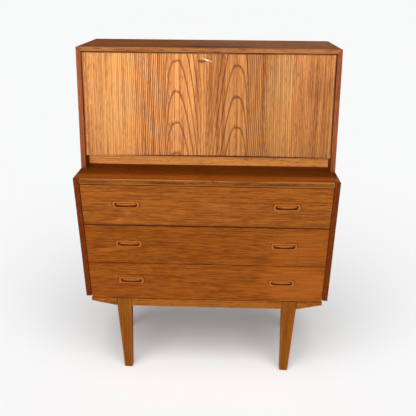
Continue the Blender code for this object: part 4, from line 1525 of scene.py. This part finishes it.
@dataclass
class DrawerFront(SubAssembly):
    """One drawer: its leaning veneered front, its two pulls and its box."""

    number: int = 1
    slope: float = 0.0
    edge: float = 0.0005
    play: float = 0.0005
    end_play: float = 0.0017
    past: float = 0.010
    # how dark the painted shade is round the front's rim and in the pull pockets
    grime: float = 0.80
    edge_on: float = 0.6

    def build(self, pattern: PullPattern, pull: Piece) -> None:
        """Makes the front and sets the pulls into it.

        Args:
            pattern: The pull's sizes.
            pull: The modelled pull.
        """
        node = f"drawer_{self.number}_front"
        low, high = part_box(node)
        drop = (high.z - low.z) * self.slope
        front = block(f"{node}_board", low, (high.x, high.y - drop, high.z))
        bevel(lean_foot(front, drop), self.edge, 3)
        for name, _ in SIDES:
            place = self.pull_place(pattern, name)
            width, height = pattern.width + 2 * self.end_play, pattern.height + 2 * self.play
            size = (width, height, pattern.depth + self.past)
            corner = pattern.corner + self.play
            pocket = pattern.rounded_block("pocket", size, 0.0, self.play - self.past, corner)
            cut(front, self.set_in(pocket, place))
            copy = self.set_in(copy_of(pull, f"drawer_{self.number}_pull_{name}"), place)
            self.hand_over(copy, PULL_WOOD, f"pull_{self.number}_{name}")
        rear = low.y + drop + self.edge

        def at_rim(face: bmesh.types.BMFace) -> bool:
            """Whether a face lies round the rim or in the front part of a pocket."""
            return face.normal.y > -self.edge_on and face.calc_center_median().y < rear

        # painted shade on the faces round the rim and in the front of the pull pockets
        paint_gap_shade(front, self.grime, at_rim)
        self.hand_over(smooth(front), drawer_face(self.number), node)
        for part in ("side_left", "side_right"):
            self.dress(f"drawer_{self.number}_{part}", BOX_WOOD)
        self.dress(f"drawer_{self.number}_back", BOX_BACK_WOOD)
        self.dress(f"drawer_{self.number}_bottom", BOX_BACK_WOOD)

    def pull_place(self, pattern: PullPattern, name: str) -> Vector:
        """The middle of a pull on the drawer's face.

        Args:
            pattern: The pull's sizes.
            name: left or right.

        Returns:
            That place.
        """
        low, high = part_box(f"pull_{self.number}_{name}")
        lean = math.atan(self.slope)
        inwards = Vector((0.0, math.cos(lean), math.sin(lean)))
        return (low + high) / 2 - inwards * (pattern.depth - pattern.proud) / 2

    def set_in(self, piece: Piece, place: Vector) -> Piece:
        """Leans a piece with the drawer's face and moves it to its place there.

        Args:
            piece: The piece to work on.
            place: Where its middle goes.

        Returns:
            The piece.
        """
        piece.rotation_euler.x = math.atan(self.slope)
        piece.location = place
        return settle(piece)


@dataclass
class Base(SubAssembly):
    """The tapered legs and the two rails between them."""

    corner: float = 0.0075
    foot_edge: float = 0.0038
    top_edge: float = 0.0002
    end_height: float = 0.010
    lap: float = 0.010
    play: float = 0.0003
    past: float = 0.005
    least_step: float = 1e-3
    sharp: float = 40.0

    def build(self) -> None:
        """Makes the rails and the legs."""
        for rail, row, into in (("front_apron", "front", 1), ("rear_rail", "rear", -1)):
            self.make_rail(rail, row, into)
            for name, _ in SIDES:
                self.make_leg(rail, row, name, into)

    def make_rail(self, node: str, row: str, into: int) -> None:
        """A rail that thins out towards its ends, halved where the legs grip it.

        Args:
            node: The rail.
            row: front or rear.
            into: 1 where the desk's middle lies behind the rail, and -1 where it lies before it.
        """
        low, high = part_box(node)
        rail = block(f"{node}_board", low, high)
        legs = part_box(f"leg_{row}_right")
        outer, inner = legs[1].x, legs[0].x
        rise = (high.z - low.z) - self.end_height
        for way in (-1, 1):
            point = Vector((way * outer, 0.0, low.z))
            slice_off(rail, point, Vector((way * rise, 0.0, -(high.x - outer))).normalized())
        bevel(rail, self.top_edge * 2, 2)
        depth = (low.y - self.past, high.y - self.lap) if into > 0 else (low.y + self.lap, high.y + self.past)
        for way in (-1, 1):
            ends = across_sides(inner - self.play, outer + self.play, way)
            lap_low = (ends[0], depth[0], low.z - self.past)
            cut(rail, block("lap", lap_low, (ends[1], depth[1], high.z + self.past)))
        self.hand_over(smooth(rail), RAIL_WOOD, node)

    def make_leg(self, rail: str, row: str, name: str, into: int) -> None:
        """A leg with rounded corners, straight beside the rail, tapered below it and forked over it.

        Args:
            rail: The rail that it grips.
            row: front or rear.
            name: left or right.
            into: 1 where the desk's middle lies behind the rail, and -1 where it lies before it.
        """
        node = f"leg_{row}_{name}"
        low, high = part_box(node)
        rail_low, rail_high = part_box(rail)
        foot_low, foot_high = self.foot(node)
        leg = block(f"{node}_post", (low.x, low.y, rail_low.z), high)
        bevel(leg, self.corner, 5, lambda edge: along(edge, Axis.Z))
        with editing(leg, "FACE"):
            pick_faces(leg, lambda face: face.normal.z < -SQUARE_ON)
            bpy.ops.mesh.extrude_region_move(TRANSFORM_OT_translate={"value": (0.0, 0.0, low.z - rail_low.z)})
            size, shrunk = high - low, foot_high - foot_low
            top_middle, foot_middle = (low + high) / 2, (foot_low + foot_high) / 2
            shrinking = (shrunk.x / size.x, shrunk.y / size.y, 1.0)
            bpy.ops.transform.resize(value=shrinking, center_override=top_middle)
            move = foot_middle - top_middle
            bpy.ops.transform.translate(value=(move.x, move.y, 0.0))
        lowest = low.z + TOUCH
        bevel(leg, self.foot_edge, 3, outer_edges_where(lambda point: point.z < lowest))
        front, back = (rail_low.y, rail_high.y) if into > 0 else (rail_high.y, rail_low.y)
        fork = sorted((back - into * (self.lap + self.play), back + into * self.play))
        wide = (low.x - self.past, high.x + self.past)
        top = high.z + self.past
        cut(leg, block("fork", (wide[0], fork[0], rail_low.z - self.play), (wide[1], fork[1], top)))
        if rail_high.z < high.z - self.least_step:
            step = sorted((front - into * self.past, back + into * (self.play + self.top_edge)))
            cut(leg, block("step", (wide[0], step[0], rail_high.z), (wide[1], step[1], top)))
        self.hand_over(smooth(leg, self.sharp), LEG_WOOD, node)

    @staticmethod
    def foot(node: str) -> tuple[Vector, Vector]:
        """The corners of a leg's lowest face, without its eased edge.

        Args:
            node: The leg.

        Returns:
            Its lowest and its highest corner.
        """
        points = [vert.co for vert in frame["nodes"][node].data.vertices if vert.co.z < FOOT_ZONE]
        low = Vector(min(point[i] for point in points) for i in range(3))
        high = Vector(max(point[i] for point in points) for i in range(3))
        return low, high


# --- the room -------------------------------------------------------------------------------------
@dataclass(frozen=True)
class Softbox:
    """A square soft light that lights the desk and not the floor.

    Attributes:
        name: Its name.
        place: Where it hangs.
        size: Its side.
        power: Its power in watts.
        aim: What it faces.
    """

    name: str
    place: Triple
    size: float
    power: float
    aim: Triple = (0.0, 0.0, 0.75)

    def hang(self, receivers: bpy.types.Collection) -> None:
        """Adds the light to the scene.

        Args:
            receivers: The collection that says what it lights.
        """
        data = bpy.data.lights.new(self.name, "AREA")
        data.shape = "SQUARE"
        data.size = self.size
        data.energy = self.power
        lamp = bpy.data.objects.new(self.name, data)
        lamp.location = self.place
        lamp.rotation_euler = (Vector(self.aim) - Vector(self.place)).to_track_quat("-Z", "Y").to_euler()
        bpy.context.scene.collection.objects.link(lamp)
        lamp.light_linking.receiver_collection = receivers


@dataclass
class Studio:
    """The pale floor, the soft lights and the camera."""

    camera_place: Triple = (0.0656, -2.134, 1.294)
    camera_turn: float = 1.79
    camera_pitch: float = 16.5
    camera_roll: float = 0.48
    lens: float = 56.65
    shift: float = -0.0673
    sensor: float = 36.0
    sight: float = 200.0
    floor_size: float = 160.0
    floor_drop: float = 0.0002
    floor_colour: Colour = (0.597, 0.600, 0.603)
    floor_roughness: float = 0.9
    floor_glow: float = 0.135
    surround: float = 0.95
    surround_light: float = 0.15
    sun_power: float = 4.56
    sun_spread: float = 66.0
    sun_tilt: float = 34.0
    softboxes: tuple[Softbox, ...] = (
        Softbox("front_softbox", (-0.35, -3.4, 1.40), 1.5, 75.0),
        Softbox("left_softbox", (-3.2, 0.3, 1.3), 1.6, 22.0),
        Softbox("right_softbox", (3.2, 0.3, 1.3), 1.6, 22.0),
        Softbox("back_softbox", (0.4, 3.4, 0.85), 1.3, 19.0),
        Softbox("overhead_lamp", (0.0, 0.82, 6.5), 0.30, 148.0, (0.0, -0.05, 0.7)),
    )

    def build(self) -> None:
        """Sets the floor, the lights and the camera."""
        floor = self.make_floor()
        self.make_world()
        self.make_lights(floor)
        self.make_camera()

    def make_floor(self) -> Piece:
        """A wide floor under the feet.

        Returns:
            The floor.
        """
        deselect()
        bpy.ops.mesh.primitive_plane_add(size=self.floor_size, location=(0.0, 0.0, -self.floor_drop))
        floor = bpy.context.object
        floor.name = "floor"
        paper = Recipe("floor_paper").finish(
            Base_Color=self.floor_colour,
            Roughness=self.floor_roughness,
            Specular_IOR_Level=0.0,
            Emission_Color=(1.0, 1.0, 1.0),
            Emission_Strength=self.floor_glow,
        )
        floor.data.materials.append(paper)
        return floor

    def make_world(self) -> None:
        """An even pale surround: bright to the eye and dim as a light."""
        world = bpy.data.worlds.new("surround")
        bpy.context.scene.world = world
        world.use_nodes = True
        tree = world.node_tree
        ray = tree.nodes.new("ShaderNodeLightPath")
        bright, dim = tree.nodes["Background"], tree.nodes.new("ShaderNodeBackground")
        feed(bright.inputs["Color"], (self.surround,) * 3)
        feed(dim.inputs["Color"], (1.0, 1.0, 1.0))
        feed(dim.inputs["Strength"], self.surround_light)
        mix = tree.nodes.new("ShaderNodeMixShader")
        tree.links.new(ray.outputs["Is Camera Ray"], mix.inputs[0])
        tree.links.new(dim.outputs[0], mix.inputs[1])
        tree.links.new(bright.outputs[0], mix.inputs[2])
        tree.links.new(mix.outputs[0], tree.nodes["World Output"].inputs["Surface"])

    def make_lights(self, floor: Piece) -> None:
        """A softbox on each side, an overhead lamp a little behind, and one lamp for the floor.

        Args:
            floor: The floor.
        """
        desk_only = bpy.data.collections.new("desk_only")
        floor_only = bpy.data.collections.new("floor_only")
        for receivers in (desk_only, floor_only):
            receivers.objects.link(floor)
        desk_only.collection_objects[0].light_linking.link_state = "EXCLUDE"
        for softbox in self.softboxes:
            softbox.hang(desk_only)
        data = bpy.data.lights.new("floor_lamp", "SUN")
        data.energy = self.sun_power
        data.angle = math.radians(self.sun_spread)
        lamp = bpy.data.objects.new("floor_lamp", data)
        lamp.rotation_euler = (math.radians(self.sun_tilt), 0.0, 0.0)
        bpy.context.scene.collection.objects.link(lamp)
        lamp.light_linking.receiver_collection = floor_only

    def make_camera(self) -> None:
        """The camera, a little above the desk's top and to the right, looking down at it."""
        data = bpy.data.cameras.new("camera")
        data.lens = self.lens
        data.sensor_width = self.sensor
        data.shift_y = self.shift
        data.clip_end = self.sight
        camera = bpy.data.objects.new("camera", data)
        turn = Matrix.Rotation(math.radians(self.camera_turn), 4, "Z")
        pitch = Matrix.Rotation(math.radians(90.0 - self.camera_pitch), 4, "X")
        roll = Matrix.Rotation(math.radians(self.camera_roll), 4, "Z")
        camera.matrix_world = Matrix.Translation(self.camera_place) @ turn @ pitch @ roll
        bpy.context.scene.collection.objects.link(camera)
        bpy.context.scene.camera = camera
        bpy.context.scene.view_settings.view_transform = "Standard"


def main() -> None:
    """Builds the desk's looks, group by group."""
    logging.basicConfig(level=logging.INFO, format="%(message)s")
    first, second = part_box("drawer_1_front"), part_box("drawer_2_front")
    slope = (second[0].y - first[0].y) / (first[0].z - second[0].z)
    CabinetCase().build()
    Pigeonholes().build()
    FallFlap().build()
    Chest(slope=slope).build()
    pattern = PullPattern()
    pull = pattern.build()
    for number in range(1, 4):
        DrawerFront(body=f"drawer_{number}", number=number, slope=slope).build(pattern, pull)
    bpy.data.objects.remove(pull, do_unlink=True)
    Base().build()
    SubAssembly.dress("key", KEY_BRASS)
    for node in ("lock_bolt", "strike_plate"):
        SubAssembly.dress(node, BRASS)
    for name, _ in SIDES:
        for part in ("stay_bracket", "stay_arm", "stay_guide"):
            SubAssembly.dress(f"{part}_{name}", BRASS)
        SubAssembly.dress(f"flap_pivot_{name}", STEEL)
    SubAssembly.dress("lock_case", STEEL)
    Studio().build()


if __name__ == "__main__":
    main()
